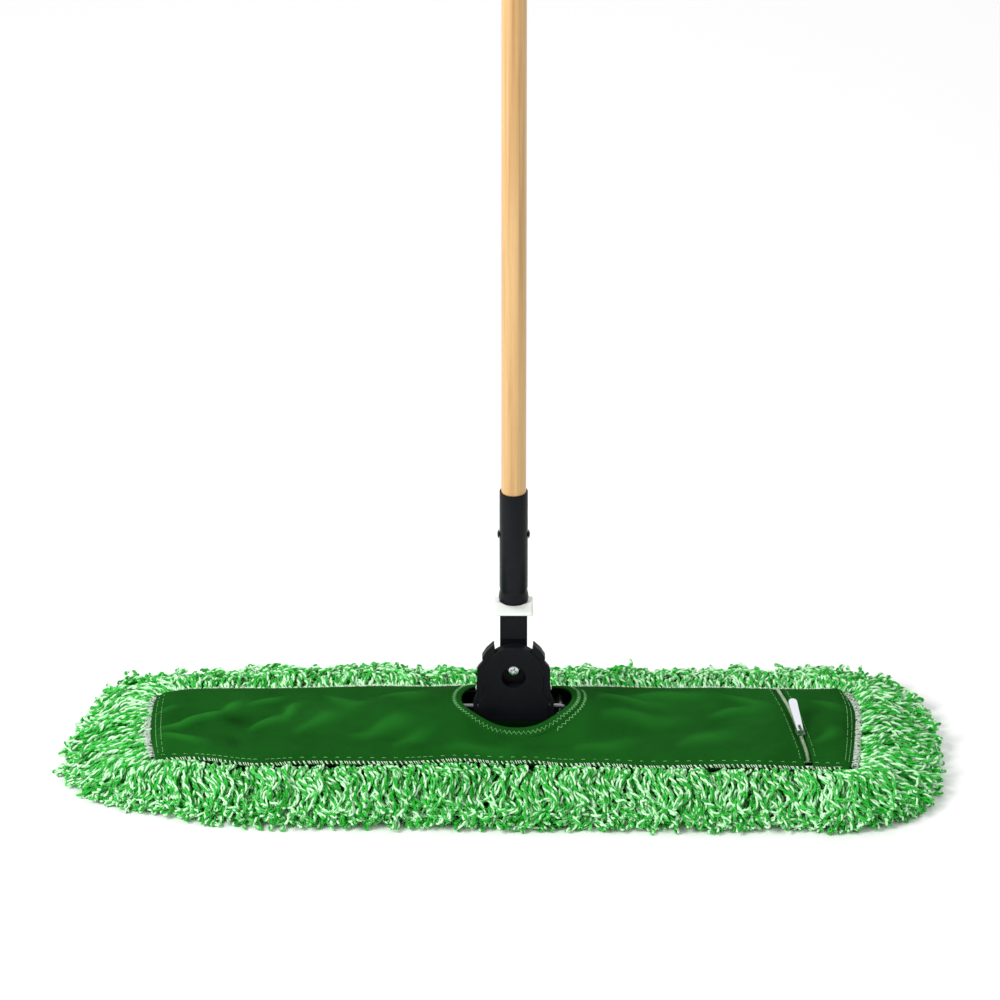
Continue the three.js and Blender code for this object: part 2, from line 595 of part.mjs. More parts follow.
/** The pocket's outside, drawn in by an inset: a low flat mound with a dome over the frame's axle. */
function mound(inset) {
  const half = PAD_HALF_WIDTH - inset;
  const top = POCKET_TOP - inset;
  const low = BASE_CLOTH_TOP + GAP;
  const section = new THREE.Shape();
  section.moveTo(-half, low - 6).lineTo(half, low - 6).lineTo(half, low);
  section.quadraticCurveTo(half - 4, top, half - 17, top).lineTo(-half + 17, top);
  section.quadraticCurveTo(-half + 4, top, -half, low);
  const options = { depth: padLength - 2 * inset, bevelEnabled: false, curveSegments: 6 };
  const geometry = new THREE.ExtrudeGeometry(section, options).rotateX(Math.PI / 2).rotateZ(Math.PI / 2);
  const flat = solid(geometry.translate(PAD_LEFT + inset, 0, 0));
  const ball = new THREE.SphereGeometry(1, 28, 14);
  ball.scale(DOME_LENGTH / 2 - inset, DOME_WIDTH / 2 - inset, DOME_RISE + CLOTH - inset);
  const dome = solid(ball.translate(FRAME_X, 0, POCKET_TOP - CLOTH));
  return joined(flat, dome);
}

/** A sheet that follows the pocket's surface, between two insets, above the base cloth. */
function skin(outerInset, innerInset) {
  const far = 2000;
  const below = block(-far, far, -far, far, -far, BASE_CLOTH_TOP + GAP);
  return cutBy(mound(outerInset), mound(innerInset), below);
}

const hole = (extra) =>
  slab(ellipse(HOLE_X, HOLE_Y, HOLE_LENGTH / 2 + extra, HOLE_WIDTH / 2 + extra), -10, 200, 16);

/** The upright band across the pocket between two distances from the zip's middle line. */
function zipBand(from, to, reach = 400) {
  const box = new THREE.BoxGeometry(to - from, 2 * reach, 200).translate((from + to) / 2, 0, 0);
  return solid(box.rotateZ(ZIP_TURN).translate(ZIP_X, 0, 0));
}

const pocketTop = () => cutBy(skin(0, CLOTH), hole(0), zipBand(-ZIP_GAP, 800));
const pocketEnd = () => cutBy(skin(0, CLOTH), zipBand(-1600, ZIP_GAP));
const holeHem = () => cutBy(skin(-GAP - HEM_THICK, -GAP).intersect(hole(HEM_WIDTH)), hole(0));
const zipTape = (from, to) => skin(CLOTH - TAPE_THICK, CLOTH).intersect(zipBand(from, to));
const zipChain = () => {
  const low = CLOTH - TAPE_THICK - GAP;
  const band = zipBand(-CHAIN_HALF_WIDTH, CHAIN_HALF_WIDTH, PAD_HALF_WIDTH + 1);
  return skin(low - CHAIN_HEIGHT, low).intersect(band);
};

const padPlan = () => roundedRect(padLength, 2 * PAD_HALF_WIDTH, PAD_CORNER, padMiddle, 0);
const baseCloth = () => slab(padPlan(), PILE_HEIGHT + GAP, BASE_CLOTH_TOP, 4);
const yarnPile = () => slab(padPlan(), 0, PILE_HEIGHT, 4);

/** The serged binding of a short end. */
function endBinding(side) {
  const edge = side < 0 ? PAD_LEFT : PAD_RIGHT;
  const [x0, x1] = [edge + side * GAP, edge + side * (GAP + BINDING_WIDTH)].sort((a, b) => a - b);
  const half = PAD_HALF_WIDTH - PAD_CORNER * 0.3;
  return block(x0, x1, -half, half, PILE_HEIGHT, PILE_HEIGHT + BINDING_HEIGHT);
}

/** The overlock edge of a long side. */
function edgeBinding(side) {
  const [y0, y1] = [side * (PAD_HALF_WIDTH + GAP), side * (PAD_HALF_WIDTH + GAP + 2.2)].sort((a, b) => a - b);
  const [x0, x1] = [PAD_LEFT + PAD_CORNER, PAD_RIGHT - PAD_CORNER];
  return block(x0, x1, y0, y1, PILE_HEIGHT, PILE_HEIGHT + BINDING_HEIGHT / 2);
}

// ---------------------------------------------------------------- yarn fringe
const sideGap = GAP + BINDING_WIDTH + GAP;       // from the cloth's short ends to the fringe
const longGap = GAP + 2.2 + GAP;                 // from the cloth's long sides to the fringe

/** The whole fringe: a low rounded ring of looped yarn round the pad. */
function fringe() {
  const [width, depth] = [FRINGE_RIGHT - FRINGE_LEFT, FRINGE_BACK - FRINGE_FRONT];
  const round = FRINGE_ROUND;
  const plan = roundedRect(width - 2 * round, depth - 2 * round, FRINGE_CORNER - round,
    (FRINGE_LEFT + FRINGE_RIGHT) / 2, (FRINGE_FRONT + FRINGE_BACK) / 2);
  const bevel = { bevelSize: round, bevelThickness: round, bevelSegments: 3 };
  const options = { depth: FRINGE_HEIGHT, curveSegments: 6, ...bevel };
  const heap = solid(new THREE.ExtrudeGeometry(plan, options).translate(0, 0, -round));
  const far = 1000;
  const long = PAD_HALF_WIDTH + longGap;
  const middle = block(PAD_LEFT - sideGap, PAD_RIGHT + sideGap, -long, long, -far, far);
  return cutBy(heap, block(-far, far, -far, far, -far, 0), middle);
}

/** One side of the fringe. */
function fringeSide(name) {
  const far = 1000;
  const [left, right] = [PAD_LEFT - sideGap, PAD_RIGHT + sideGap];
  const zones = {
    left: [-far, left - GAP, -far, far],
    right: [right + GAP, far, -far, far],
    front: [left, right, -far, 0],
    back: [left, right, 0, far],
  };
  return fringe().intersect(block(...zones[name], -far, far));
}

// ---------------------------------------------------------------- zip slider and pull
/** The slider, along the zip's own +Y, with a bail over its top plate. */
function zipSlider() {
  const chainTop = POCKET_TOP - CLOTH + TAPE_THICK + GAP + CHAIN_HEIGHT;
  const tapeTop = POCKET_TOP - CLOTH + TAPE_THICK;
  const top = chainTop + GAP;
  const half = SLIDER_LENGTH / 2;
  const belly = GAP + TAPE_WIDTH;
  const nose = belly - 0.5;
  const shape = outline([[-nose, -half], [nose, -half], [belly, half * 0.4], [nose, half],
    [-nose, half], [-belly, half * 0.4]]);
  const inner = CHAIN_HALF_WIDTH + GAP;
  const shell = cutBy(slab(shape, tapeTop + GAP, top + 1.4), block(-inner, inner, -20, 20, 0, top));
  const bail = cutBy(rod('x', 4.6, -0.8, 0.8, [0, top + 1.2], 20), rod('x', 3.4, -2, 2, [0, top + 1.2], 20),
    block(-5, 5, -9, 9, 0, top));
  return joined(shell, bail);
}

/** The pull tab: an end bar under the slider's bail, two rails past it and a leaf with a round end. */
function zipPull() {
  const bar = 0.8;
  const window = 6.2;
  const tip = PULL_LENGTH - PULL_WIDTH / 2;
  const leafShape = new THREE.Shape();
  leafShape.moveTo(-PULL_NECK / 2, -bar).lineTo(PULL_NECK / 2, -bar).lineTo(PULL_WIDTH / 2, tip);
  leafShape.absarc(0, tip, PULL_WIDTH / 2, 0, Math.PI);
  const leaf = slab(leafShape, -PULL_THICK / 2, PULL_THICK / 2, 6);
  const opening = slab(roundedRect(PULL_NECK - 2.8, window - bar, 0.6, 0, (window + bar) / 2), -3, 3, 3);
  return cutBy(leaf, opening);
}

// ---------------------------------------------------------------- assembly
const mop = new THREE.Group();

mop.add(
  piece('outer_wire', outerWire(), 'zinc'),
  piece('cross_wire_left', crossWire(-1), 'zinc'),
  piece('cross_wire_right', crossWire(1), 'zinc'),
  piece('axle_wire', axleWire(), 'zinc'),
  piece('base_cloth', baseCloth(), 'canvas'),
  piece('pocket_top', pocketTop(), 'canvas'),
  piece('pocket_end', pocketEnd(), 'canvas'),
  piece('hole_hem', holeHem(), 'hem'),
  piece('end_binding_left', endBinding(-1), 'serging'),
  piece('end_binding_right', endBinding(1), 'serging'),
  piece('edge_binding_front', edgeBinding(-1), 'serging'),
  piece('edge_binding_back', edgeBinding(1), 'serging'),
  piece('yarn_pile', yarnPile(), 'yarn'),
  piece('zip_tape_inner', zipTape(-GAP - TAPE_WIDTH, -GAP), 'tape'),
  piece('zip_tape_outer', zipTape(GAP, GAP + TAPE_WIDTH), 'tape'),
  piece('zip_chain', zipChain(), 'zipper'),
);
for (const side of ['left', 'right', 'front', 'back']) mop.add(piece(`yarn_${side}`, fringeSide(side), 'yarn'));

const zip = new THREE.Group();
zip.position.set(ZIP_X, 0, 0);
zip.rotation.z = ZIP_TURN;
const slider = new THREE.Group();
slider.position.y = SLIDER_Y;
const pull = piece('zip_pull', zipPull(), 'pull');
pull.position.z = PULL_HINGE_Z;
pull.rotation.x = PULL_LIFT;
slider.add(piece('zip_slider', zipSlider(), 'tape'), pull);
zip.add(slider);
mop.add(zip);

mop.add(
  piece('head_body', headBody(), 'blackPlastic'),
  piece('front_cover', frontCover(), 'blackPlastic'),
  piece('pivot_bolt', pivotBolt(), 'zinc'),
  piece('pivot_washer', pivotWasher(), 'zinc'),
  piece('pivot_nut', pivotNut(), 'zinc'),
);
for (const [side, word] of [[-1, 'left'], [1, 'right']]) {
  mop.add(
    piece(`latch_${word}`, latch(side), 'blackPlastic'),
    piece(`latch_pin_${word}`, latchPin(side), 'zinc'),
    piece(`latch_spring_${word}`, latchSpring(side), 'zinc'),
    piece(`cover_screw_${word}`, coverScrew(side), 'zinc'),
  );
}

mop.add(
  piece('neck', neck(), 'blackPlastic'),
  piece('eye_bush', eyeBush(), 'nylon'),
  piece('lock_ring', lockRing(), 'nylon'),
  piece('swivel_washer', swivelWasher(), 'zinc'),
  piece('swivel_clip', swivelClip(), 'zinc'),
  piece('swivel_bush', swivelBush(), 'nylon'),
  piece('ferrule', ferrule(), 'blackSteel'),
  piece('handle_rivet', handleRivet(), 'blackSteel'),
  piece('handle_shaft', handleShaft(), 'wood'),
);

export default mop;
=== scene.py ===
"""Flat dust mop: looped twisted yarn round a zipped canvas pocket, a wire frame in the pocket, and a
wooden handle on a clip-on swivel head. Sizes are in millimetres until a mesh is finished."""
import json
import math

import bmesh
import bpy
import numpy as np
from mathutils import Matrix, Vector
from mathutils.bvhtree import BVHTree


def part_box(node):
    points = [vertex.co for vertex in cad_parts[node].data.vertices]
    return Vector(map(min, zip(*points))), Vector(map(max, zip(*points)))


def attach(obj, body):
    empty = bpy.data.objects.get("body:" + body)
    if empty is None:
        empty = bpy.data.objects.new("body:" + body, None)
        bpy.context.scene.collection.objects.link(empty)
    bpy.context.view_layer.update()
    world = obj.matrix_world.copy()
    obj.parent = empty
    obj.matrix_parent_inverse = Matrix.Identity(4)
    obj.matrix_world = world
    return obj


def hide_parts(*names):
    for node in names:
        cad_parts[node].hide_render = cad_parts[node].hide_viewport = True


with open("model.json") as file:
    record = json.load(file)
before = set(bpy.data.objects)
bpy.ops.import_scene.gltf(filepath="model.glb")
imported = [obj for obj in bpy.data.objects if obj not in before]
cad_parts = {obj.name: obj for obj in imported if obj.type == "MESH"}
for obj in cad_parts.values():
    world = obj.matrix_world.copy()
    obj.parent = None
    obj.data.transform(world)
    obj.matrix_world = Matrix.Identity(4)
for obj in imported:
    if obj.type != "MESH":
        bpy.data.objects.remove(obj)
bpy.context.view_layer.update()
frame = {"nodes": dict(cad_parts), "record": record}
scene = bpy.context.scene

MM = 0.001
TAU = math.tau


# ---------------------------------------------------------------- places, from the frame
def box_mm(node):
    """Lowest and highest corner of a CAD node, in millimetres."""
    low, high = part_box(node)
    return low / MM, high / MM


def joint_mm(name):
    """Where a joint's axis passes, in millimetres."""
    joints = frame["record"]["behaviour"]["joints"]
    return Vector(next(j for j in joints if j["name"] == name)["pos_m"]) / MM


PAD_LOW, PAD_HIGH = box_mm("base_cloth")
HEM_LOW, HEM_HIGH = box_mm("hole_hem")
COVER_LOW, COVER_HIGH = box_mm("front_cover")
BODY_LOW, BODY_HIGH = box_mm("head_body")
AXLE = joint_mm("head_pitch")
PIVOT = joint_mm("handle_tilt")
PAD_HALF = PAD_HIGH.y
POCKET_TOP = box_mm("pocket_end")[1].z
CLOTH_THICK = 1.5
HEM_WIDTH = 9.5
HOLE = Vector(((HEM_LOW.x + HEM_HIGH.x) / 2, (HEM_LOW.y + HEM_HIGH.y) / 2))
HOLE_HALF = Vector(((HEM_HIGH.x - HEM_LOW.x) / 2 - HEM_WIDTH, (HEM_HIGH.y - HEM_LOW.y) / 2 - HEM_WIDTH))
FRAME_LOW, FRAME_HIGH = box_mm("outer_wire")
FRAME_X = (FRAME_LOW.x + FRAME_HIGH.x) / 2
ZIP = joint_mm("zip_pull_swing")
ZIP_SLOPE = 0.19                       # the zip's lean, in X for each Y
ZIP_X = ZIP.x + ZIP_SLOPE * ZIP.y


# ---------------------------------------------------------------- material tools
def node(tree, kind, inputs=None, **settings):
    """A shader node with its settings, and its inputs set or linked."""
    made = tree.nodes.new(kind)
    for name, value in settings.items():
        setattr(made, name, value)
    for name, value in (inputs or {}).items():
        if isinstance(value, bpy.types.NodeSocket):
            tree.links.new(value, made.inputs[name])
        else:
            made.inputs[name].default_value = value
    return made


def group(name, inputs, outputs):
    """An empty shader node group with named float or vector sockets, its input and its output node."""
    tree = bpy.data.node_groups.new(name, "ShaderNodeTree")
    for label, kind, value in inputs:
        socket = tree.interface.new_socket(label, in_out="INPUT", socket_type=kind)
        if value is not None:
            socket.default_value = value
    for label, kind in outputs:
        tree.interface.new_socket(label, in_out="OUTPUT", socket_type=kind)
    return tree, tree.nodes.new("NodeGroupInput"), tree.nodes.new("NodeGroupOutput")


def placed(tree, effect, inputs):
    """A node group in a material, with its own values."""
    return node(tree, "ShaderNodeGroup", inputs, node_tree=effect)


def mottle_group():
    """Soft uneven patches: a value that wanders between Low and High."""
    tree, start, end = group(
        "mottle", [("Vector", "NodeSocketVector", None), ("Scale", "NodeSocketFloat", 20.0),
                   ("Low", "NodeSocketFloat", 0.0), ("High", "NodeSocketFloat", 1.0)], [("Value", "NodeSocketFloat")])
    cloud = node(tree, "ShaderNodeTexNoise", {"Vector": start.outputs["Vector"], "Scale": start.outputs["Scale"],
                                              "Detail": 5.0, "Roughness": 0.6})
    spread = node(tree, "ShaderNodeMapRange", {"Value": cloud.outputs["Fac"], "From Min": 0.3, "From Max": 0.7,
                                               "To Min": start.outputs["Low"], "To Max": start.outputs["High"]})
    tree.links.new(spread.outputs["Result"], end.inputs["Value"])
    return tree


def weave_group():
    """Plain weave: over and under threads, with a height and a mask of the gaps."""
    tree, start, end = group(
        "weave", [("Vector", "NodeSocketVector", None), ("Threads", "NodeSocketFloat", 900.0)],
        [("Height", "NodeSocketFloat"), ("Gaps", "NodeSocketFloat")])
    waves = []
    for direction in ("X", "Y"):
        waves.append(node(tree, "ShaderNodeTexWave", {
            "Vector": start.outputs["Vector"], "Scale": start.outputs["Threads"], "Distortion": 0.6,
            "Detail": 2.0, "Detail Scale": 0.05}, wave_type="BANDS", bands_direction=direction))
    crossed = {0: waves[0].outputs["Fac"], 1: waves[1].outputs["Fac"]}
    for label, operation in (("Height", "MAXIMUM"), ("Gaps", "MULTIPLY")):
        tree.links.new(node(tree, "ShaderNodeMath", crossed, operation=operation).outputs[0], end.inputs[label])
    return tree


MOTTLE = mottle_group()
WEAVE = weave_group()
FINISHES = {}


def finish(name, slot, color, roughness, **values):
    """A Principled material for one of the record's slots, with its constants set on its sockets."""
    material = bpy.data.materials.new(name)
    material.use_nodes = True
    tree = material.node_tree
    shader = next(n for n in tree.nodes if n.type == "BSDF_PRINCIPLED")
    shader.inputs["Base Color"].default_value = (*color, 1)
    shader.inputs["Roughness"].default_value = roughness
    for label, value in values.items():
        shader.inputs[label.replace("_", " ")].default_value = value
    FINISHES[name] = (material, slot)
    return tree, shader


def coords(tree, scale=(1, 1, 1)):
    """Object coordinates, stretched by a scale."""
    source = node(tree, "ShaderNodeTexCoord")
    return node(tree, "ShaderNodeMapping", {"Vector": source.outputs["Object"], "Scale": scale}).outputs["Vector"]


def mixed(tree, factor, first, second):
    """A colour between two colours."""
    mix = tree.nodes.new("ShaderNodeMix")
    mix.data_type = "RGBA"
    for socket, value in ((mix.inputs[0], factor), (mix.inputs[6], first), (mix.inputs[7], second)):
        if isinstance(value, bpy.types.NodeSocket):
            tree.links.new(value, socket)
        else:
            socket.default_value = value if isinstance(value, (int, float)) else (*value, 1)
    return mix.outputs[2]


def ramp(tree, factor, stops):
    """A colour ramp through (place, colour) stops."""
    made = node(tree, "ShaderNodeValToRGB", {"Fac": factor})
    band = made.color_ramp
    while len(band.elements) < len(stops):
        band.elements.new(0.5)
    for element, (place, color) in zip(band.elements, stops):
        element.position = place
        element.color = (*color, 1)
    return made.outputs["Color"]


def bumped(tree, shader, height, distance, strength=1.0):
    """A bump on the shader, from a height in 0 to 1 and its depth in millimetres."""
    bump = node(tree, "ShaderNodeBump", {"Height": height, "Distance": distance * MM, "Strength": strength})
    tree.links.new(bump.outputs["Normal"], shader.inputs["Normal"])


def mottle(tree, vector, scale, low, high):
    """The mottle group's value in a material."""
    return placed(tree, MOTTLE, {"Vector": vector, "Scale": float(scale), "Low": low, "High": high}).outputs["Value"]


# ---------------------------------------------------------------- finishes
def yarn_finish():
    """Green yarn plied with white: a streak attribute says where the white ply shows."""
    tree, shader = finish("yarn", "yarn", (0.1, 0.5, 0.1), 0.92, Specular_IOR_Level=0.04)
    streak = node(tree, "ShaderNodeAttribute", attribute_name="streak").outputs["Fac"]
    tone = node(tree, "ShaderNodeAttribute", attribute_name="tone").outputs["Fac"]
    place = coords(tree)
    fibres = node(tree, "ShaderNodeTexNoise", {"Vector": place, "Scale": 1100.0, "Detail": 2.0}).outputs["Fac"]
    frayed = node(tree, "ShaderNodeMath", {0: fibres, 1: 0.4, 2: streak}, operation="MULTIPLY_ADD").outputs[0]
    green = ramp(tree, tone, [(0.0, (0.014, 0.30, 0.020)), (0.45, (0.035, 0.47, 0.045)), (1.0, (0.10, 0.66, 0.12))])
    white = node(tree, "ShaderNodeMapRange", {"Value": frayed, "From Min": 0.60, "From Max": 0.82}).outputs["Result"]
    color = mixed(tree, white, green, (0.66, 1.0, 0.66))
    tree.links.new(color, shader.inputs["Base Color"])
    bumped(tree, shader, fibres, 0.5)


def cloth_finish(name, slot, dark, light, threads=1500.0, depth=0.12):
    """Woven cotton canvas: soft patches, a fine plain weave, a little lint, and painted light and shade on the folds.
    """
    tree, shader = finish(name, slot, light, 0.86, Specular_IOR_Level=0.03)
    place = coords(tree)
    patches = mottle(tree, place, 14, 0.0, 1.0)
    weave = placed(tree, WEAVE, {"Vector": place, "Threads": threads})
    cloth = mixed(tree, patches, dark, light)
    gaps = node(tree, "ShaderNodeMath", {0: weave.outputs["Gaps"], 1: 0.16}, operation="MULTIPLY").outputs[0]
    woven = mixed(tree, gaps, cloth, tuple(0.35 * c for c in dark))
    lint = node(tree, "ShaderNodeTexNoise", {"Vector": place, "Scale": 700.0, "Detail": 1.0}).outputs["Fac"]
    specks = node(tree, "ShaderNodeMapRange", {"Value": lint, "From Min": 0.7, "From Max": 0.82, "To Max": 0.35})
    color = mixed(tree, specks.outputs["Result"], woven, tuple(min(1, 1.6 * c + 0.02) for c in light))
    # painted light and shade: each point's fold height makes the ridge tops paler and the hollows darker, so the
    # folds read
    painted_fold_shading = node(tree, "ShaderNodeAttribute", attribute_name="painted_fold_shading").outputs["Fac"]
    # the first colour is the painted highlight on the ridges, the second the painted shade in the hollows
    pale, painted_hollow_shade = tuple(2.1 * c for c in light), tuple(0.45 * c for c in dark)
    for low, high, target in ((0.1, 1.5, pale), (-0.1, -1.0, painted_hollow_shade)):
        fold_shading_mask = node(tree, "ShaderNodeMapRange", {"Value": painted_fold_shading, "From Min": low, "From Max": high, "To Max": 0.75})
        color = mixed(tree, fold_shading_mask.outputs["Result"], color, target)
    tree.links.new(color, shader.inputs["Base Color"])
    rough = mottle(tree, place, 60, 0.78, 0.94)
    tree.links.new(rough, shader.inputs["Roughness"])
    bumped(tree, shader, weave.outputs["Height"], depth)


def thread_finish(name, slot, pale, dark, share):
    """Sewing thread: pale, with darker stretches."""
    tree, shader = finish(name, slot, pale, 0.8, Specular_IOR_Level=0.1)
    place = coords(tree)
    flecks = node(tree, "ShaderNodeTexNoise", {"Vector": place, "Scale": 420.0, "Detail": 3.0}).outputs["Fac"]
    mask = node(tree, "ShaderNodeMapRange", {"Value": flecks, "From Min": share, "From Max": share + 0.08})
    tree.links.new(mixed(tree, mask.outputs["Result"], pale, dark), shader.inputs["Base Color"])
    bumped(tree, shader, flecks, 0.2)


def plain_finish(name, slot, color, shade, roughness, grain=900, depth=0.04, spread=0.08, **values):
    """A moulded, painted or plated surface: slight colour and gloss changes over a fine grain."""
    tree, shader = finish(name, slot, color, roughness, **values)
    place = coords(tree)
    tree.links.new(mixed(tree, mottle(tree, place, 35, 0.0, 1.0), color, shade), shader.inputs["Base Color"])
    tree.links.new(mottle(tree, place, 90, roughness - spread, roughness + spread), shader.inputs["Roughness"])
    tiny = node(tree, "ShaderNodeTexNoise", {"Vector": place, "Scale": float(grain), "Detail": 3.0}).outputs["Fac"]
    bumped(tree, shader, tiny, depth)


def wood_finish():
    """Lacquered hardwood: long grain, a few pores and flecks, under a clear coat."""
    tree, shader = finish("wood", "lacquered_wood", (0.75, 0.48, 0.2), 0.38, Coat_Weight=0.35, Coat_Roughness=0.16)
    long_grain = coords(tree, (1, 1, 0.02))
    rings = node(tree, "ShaderNodeTexNoise", {"Vector": long_grain, "Scale": 150.0, "Detail": 6.0, "Roughness": 0.62,
                                              "Distortion": 0.4}).outputs["Fac"]
    body = ramp(tree, rings, [(0.30, (0.47, 0.245, 0.074)), (0.46, (0.59, 0.345, 0.124)),
                              (0.60, (0.67, 0.415, 0.166)), (0.76, (0.72, 0.475, 0.214))])
    pores = node(tree, "ShaderNodeTexNoise", {"Vector": coords(tree, (1, 1, 0.05)), "Scale": 1400.0,
                                              "Detail": 2.0}).outputs["Fac"]
    dark = node(tree, "ShaderNodeMapRange", {"Value": pores, "From Min": 0.66, "From Max": 0.8, "To Max": 0.4})
    grained = mixed(tree, dark.outputs["Result"], body, (0.36, 0.17, 0.055))
    fleck = node(tree, "ShaderNodeTexNoise", {"Vector": coords(tree, (1, 1, 0.35)), "Scale": 55.0,
                                              "Detail": 3.0}).outputs["Fac"]
    spot = node(tree, "ShaderNodeMapRange", {"Value": fleck, "From Min": 0.74, "From Max": 0.80, "To Max": 0.6})
    color = mixed(tree, spot.outputs["Result"], grained, (0.30, 0.14, 0.05))
    tree.links.new(color, shader.inputs["Base Color"])
    tree.links.new(mottle(tree, long_grain, 60, 0.30, 0.46), shader.inputs["Roughness"])
    bumped(tree, shader, rings, 0.05)


def coil_finish():
    """Nylon zip coil: cream, with darker gaps between the turns."""
    tree, shader = finish("coil", "zip_teeth", (0.70, 0.78, 0.58), 0.5)
    place = coords(tree)
    tone = mottle(tree, place, 500, 0.0, 1.0)
    tree.links.new(mixed(tree, tone, (0.58, 0.68, 0.50), (0.16, 0.32, 0.15)), shader.inputs["Base Color"])
    tree.links.new(mottle(tree, place, 300, 0.4, 0.6), shader.inputs["Roughness"])


yarn_finish()
cloth_finish("canvas", "green_canvas", (0.0066, 0.080, 0.0072), (0.0115, 0.121, 0.0122))
# the base cloth's canvas, darker than the pocket's: painted shade for the inside of the pocket seen through the hole
cloth_finish("canvas_painted_shade", "green_canvas", (0.0022, 0.020, 0.0024), (0.0034, 0.032, 0.0036))
cloth_finish("hem_cloth", "green_hem", (0.0072, 0.082, 0.0078), (0.0125, 0.122, 0.0135))
cloth_finish("tape", "zip_tape", (0.0075, 0.085, 0.0085), (0.014, 0.125, 0.015), threads=2200.0)
thread_finish("serging", "serging", (0.55, 0.64, 0.55), (0.02, 0.10, 0.02), 0.54)
thread_finish("overlock", "serging", (0.72, 0.86, 0.70), (0.04, 0.20, 0.04), 0.57)
thread_finish("stitch", "green_hem", (0.20, 0.52, 0.20), (0.05, 0.24, 0.05), 0.56)
coil_finish()
wood_finish()
plain_finish("zip_paint", "zip_metal", (0.020, 0.110, 0.022), (0.012, 0.080, 0.014), 0.4)
plain_finish("pull_white", "pull_plastic", (0.74, 0.76, 0.81), (0.68, 0.70, 0.76), 0.35, Coat_Weight=0.3)
plain_finish("plastic", "black_plastic", (0.0075, 0.0085, 0.0105), (0.0045, 0.005, 0.0065), 0.42, grain=1600,
             Specular_IOR_Level=0.1)
plain_finish("steel_paint", "black_steel", (0.0065, 0.0075, 0.010), (0.004, 0.0045, 0.006), 0.3,
             Specular_IOR_Level=0.14)
plain_finish("nylon", "white_nylon", (0.89, 0.92, 0.88), (0.84, 0.86, 0.82), 0.42, spread=0.06)
plain_finish("zinc", "zinc_steel", (0.74, 0.75, 0.77), (0.60, 0.61, 0.64), 0.26, Metallic=1.0)
plain_finish("wire", "galvanised_wire", (0.34, 0.35, 0.37), (0.22, 0.23, 0.25), 0.42, Metallic=1.0)


# ---------------------------------------------------------------- shape tools
AXIS_TURNS = {"x": Matrix.Rotation(TAU / 4, 4, "Y"), "y": Matrix.Rotation(-TAU / 4, 4, "X"), "z": Matrix()}


def rod(axis, radius, start, end, across=(0, 0), segments=48):
    """A round rod along X, Y or Z between two places, centred on the other two."""
    bm = bmesh.new()
    middle = (start + end) / 2
    centre = {"x": (middle, *across), "y": (across[0], middle, across[1]), "z": (*across, middle)}[axis]
    bmesh.ops.create_cone(bm, cap_ends=True, segments=segments, radius1=radius, radius2=radius,
                          depth=end - start, matrix=Matrix.Translation(centre) @ AXIS_TURNS[axis])
    return bm


def block(x0, x1, y0, y1, z0, z1):
    """A block between two corners."""
    bm = bmesh.new()
    size = Matrix.Diagonal((x1 - x0, y1 - y0, z1 - z0, 1))
    middle = Matrix.Translation(((x0 + x1) / 2, (y0 + y1) / 2, (z0 + z1) / 2))
    bmesh.ops.create_cube(bm, size=1, matrix=middle @ size)
    return bm


def extruded(corners, depth):
    """A flat outline of 3-D points, pushed along a vector into a solid."""
    bm = bmesh.new()
    face = bm.faces.new([bm.verts.new(c) for c in corners])
    moved = bmesh.ops.extrude_face_region(bm, geom=[face])["geom"]
    bmesh.ops.translate(bm, vec=depth, verts=[v for v in moved if isinstance(v, bmesh.types.BMVert)])
    bmesh.ops.recalc_face_normals(bm, faces=bm.faces)
    return bm


def plate(outline, y_front, y_back):
    """An outline in X and Z, as a plate from y_front to y_back."""
    return extruded([(x, y_front, z) for x, z in outline], (0, y_back - y_front, 0))


def slab(outline, z0, z1):
    """An outline in X and Y, as a slab from z0 to z1."""
    return extruded([(x, y, z0) for x, y in outline], (0, 0, z1 - z0))


def arc(cx, cy, radius, start, end, steps):
    """Points on an arc, in degrees."""
    return [(cx + radius * math.cos(math.radians(a)), cy + radius * math.sin(math.radians(a)))
            for a in np.linspace(start, end, steps + 1)]


def round_rect(width, depth, radius, x=0, y=0, steps=8):
    """A rectangle with round corners."""
    hx, hy = width / 2 - radius, depth / 2 - radius
    corners = ((1, 1, 0), (-1, 1, 90), (-1, -1, 180), (1, -1, 270))
    return [p for sx, sy, a in corners for p in arc(x + sx * hx, y + sy * hy, radius, a, a + 90, steps)]


def spun(profile, axis="z", centre=(0, 0, 0), steps=64, closed=False):
    """A profile of (radius, height) spun round an axis through a centre."""
    bm = bmesh.new()
    verts = [bm.verts.new((r, 0, h)) for r, h in profile]
    edges = [bm.edges.new(pair) for pair in zip(verts, verts[1:])]
    if closed:
        edges.append(bm.edges.new((verts[-1], verts[0])))
    bmesh.ops.spin(bm, geom=verts + edges, cent=(0, 0, 0), axis=(0, 0, 1), angle=TAU, steps=steps, use_merge=True)
    bmesh.ops.remove_doubles(bm, verts=bm.verts, dist=1e-4)
    bmesh.ops.recalc_face_normals(bm, faces=bm.faces)
    bmesh.ops.transform(bm, matrix=Matrix.Translation(centre) @ AXIS_TURNS[axis], verts=bm.verts)
    return bm


def scratch(bm):
    """A bmesh as an object that is only used to cut or join."""
    mesh = bpy.data.meshes.new("scratch")
    bm.to_mesh(mesh)
    bm.free()
    tool = bpy.data.objects.new("scratch", mesh)
    scene.collection.objects.link(tool)
    return tool


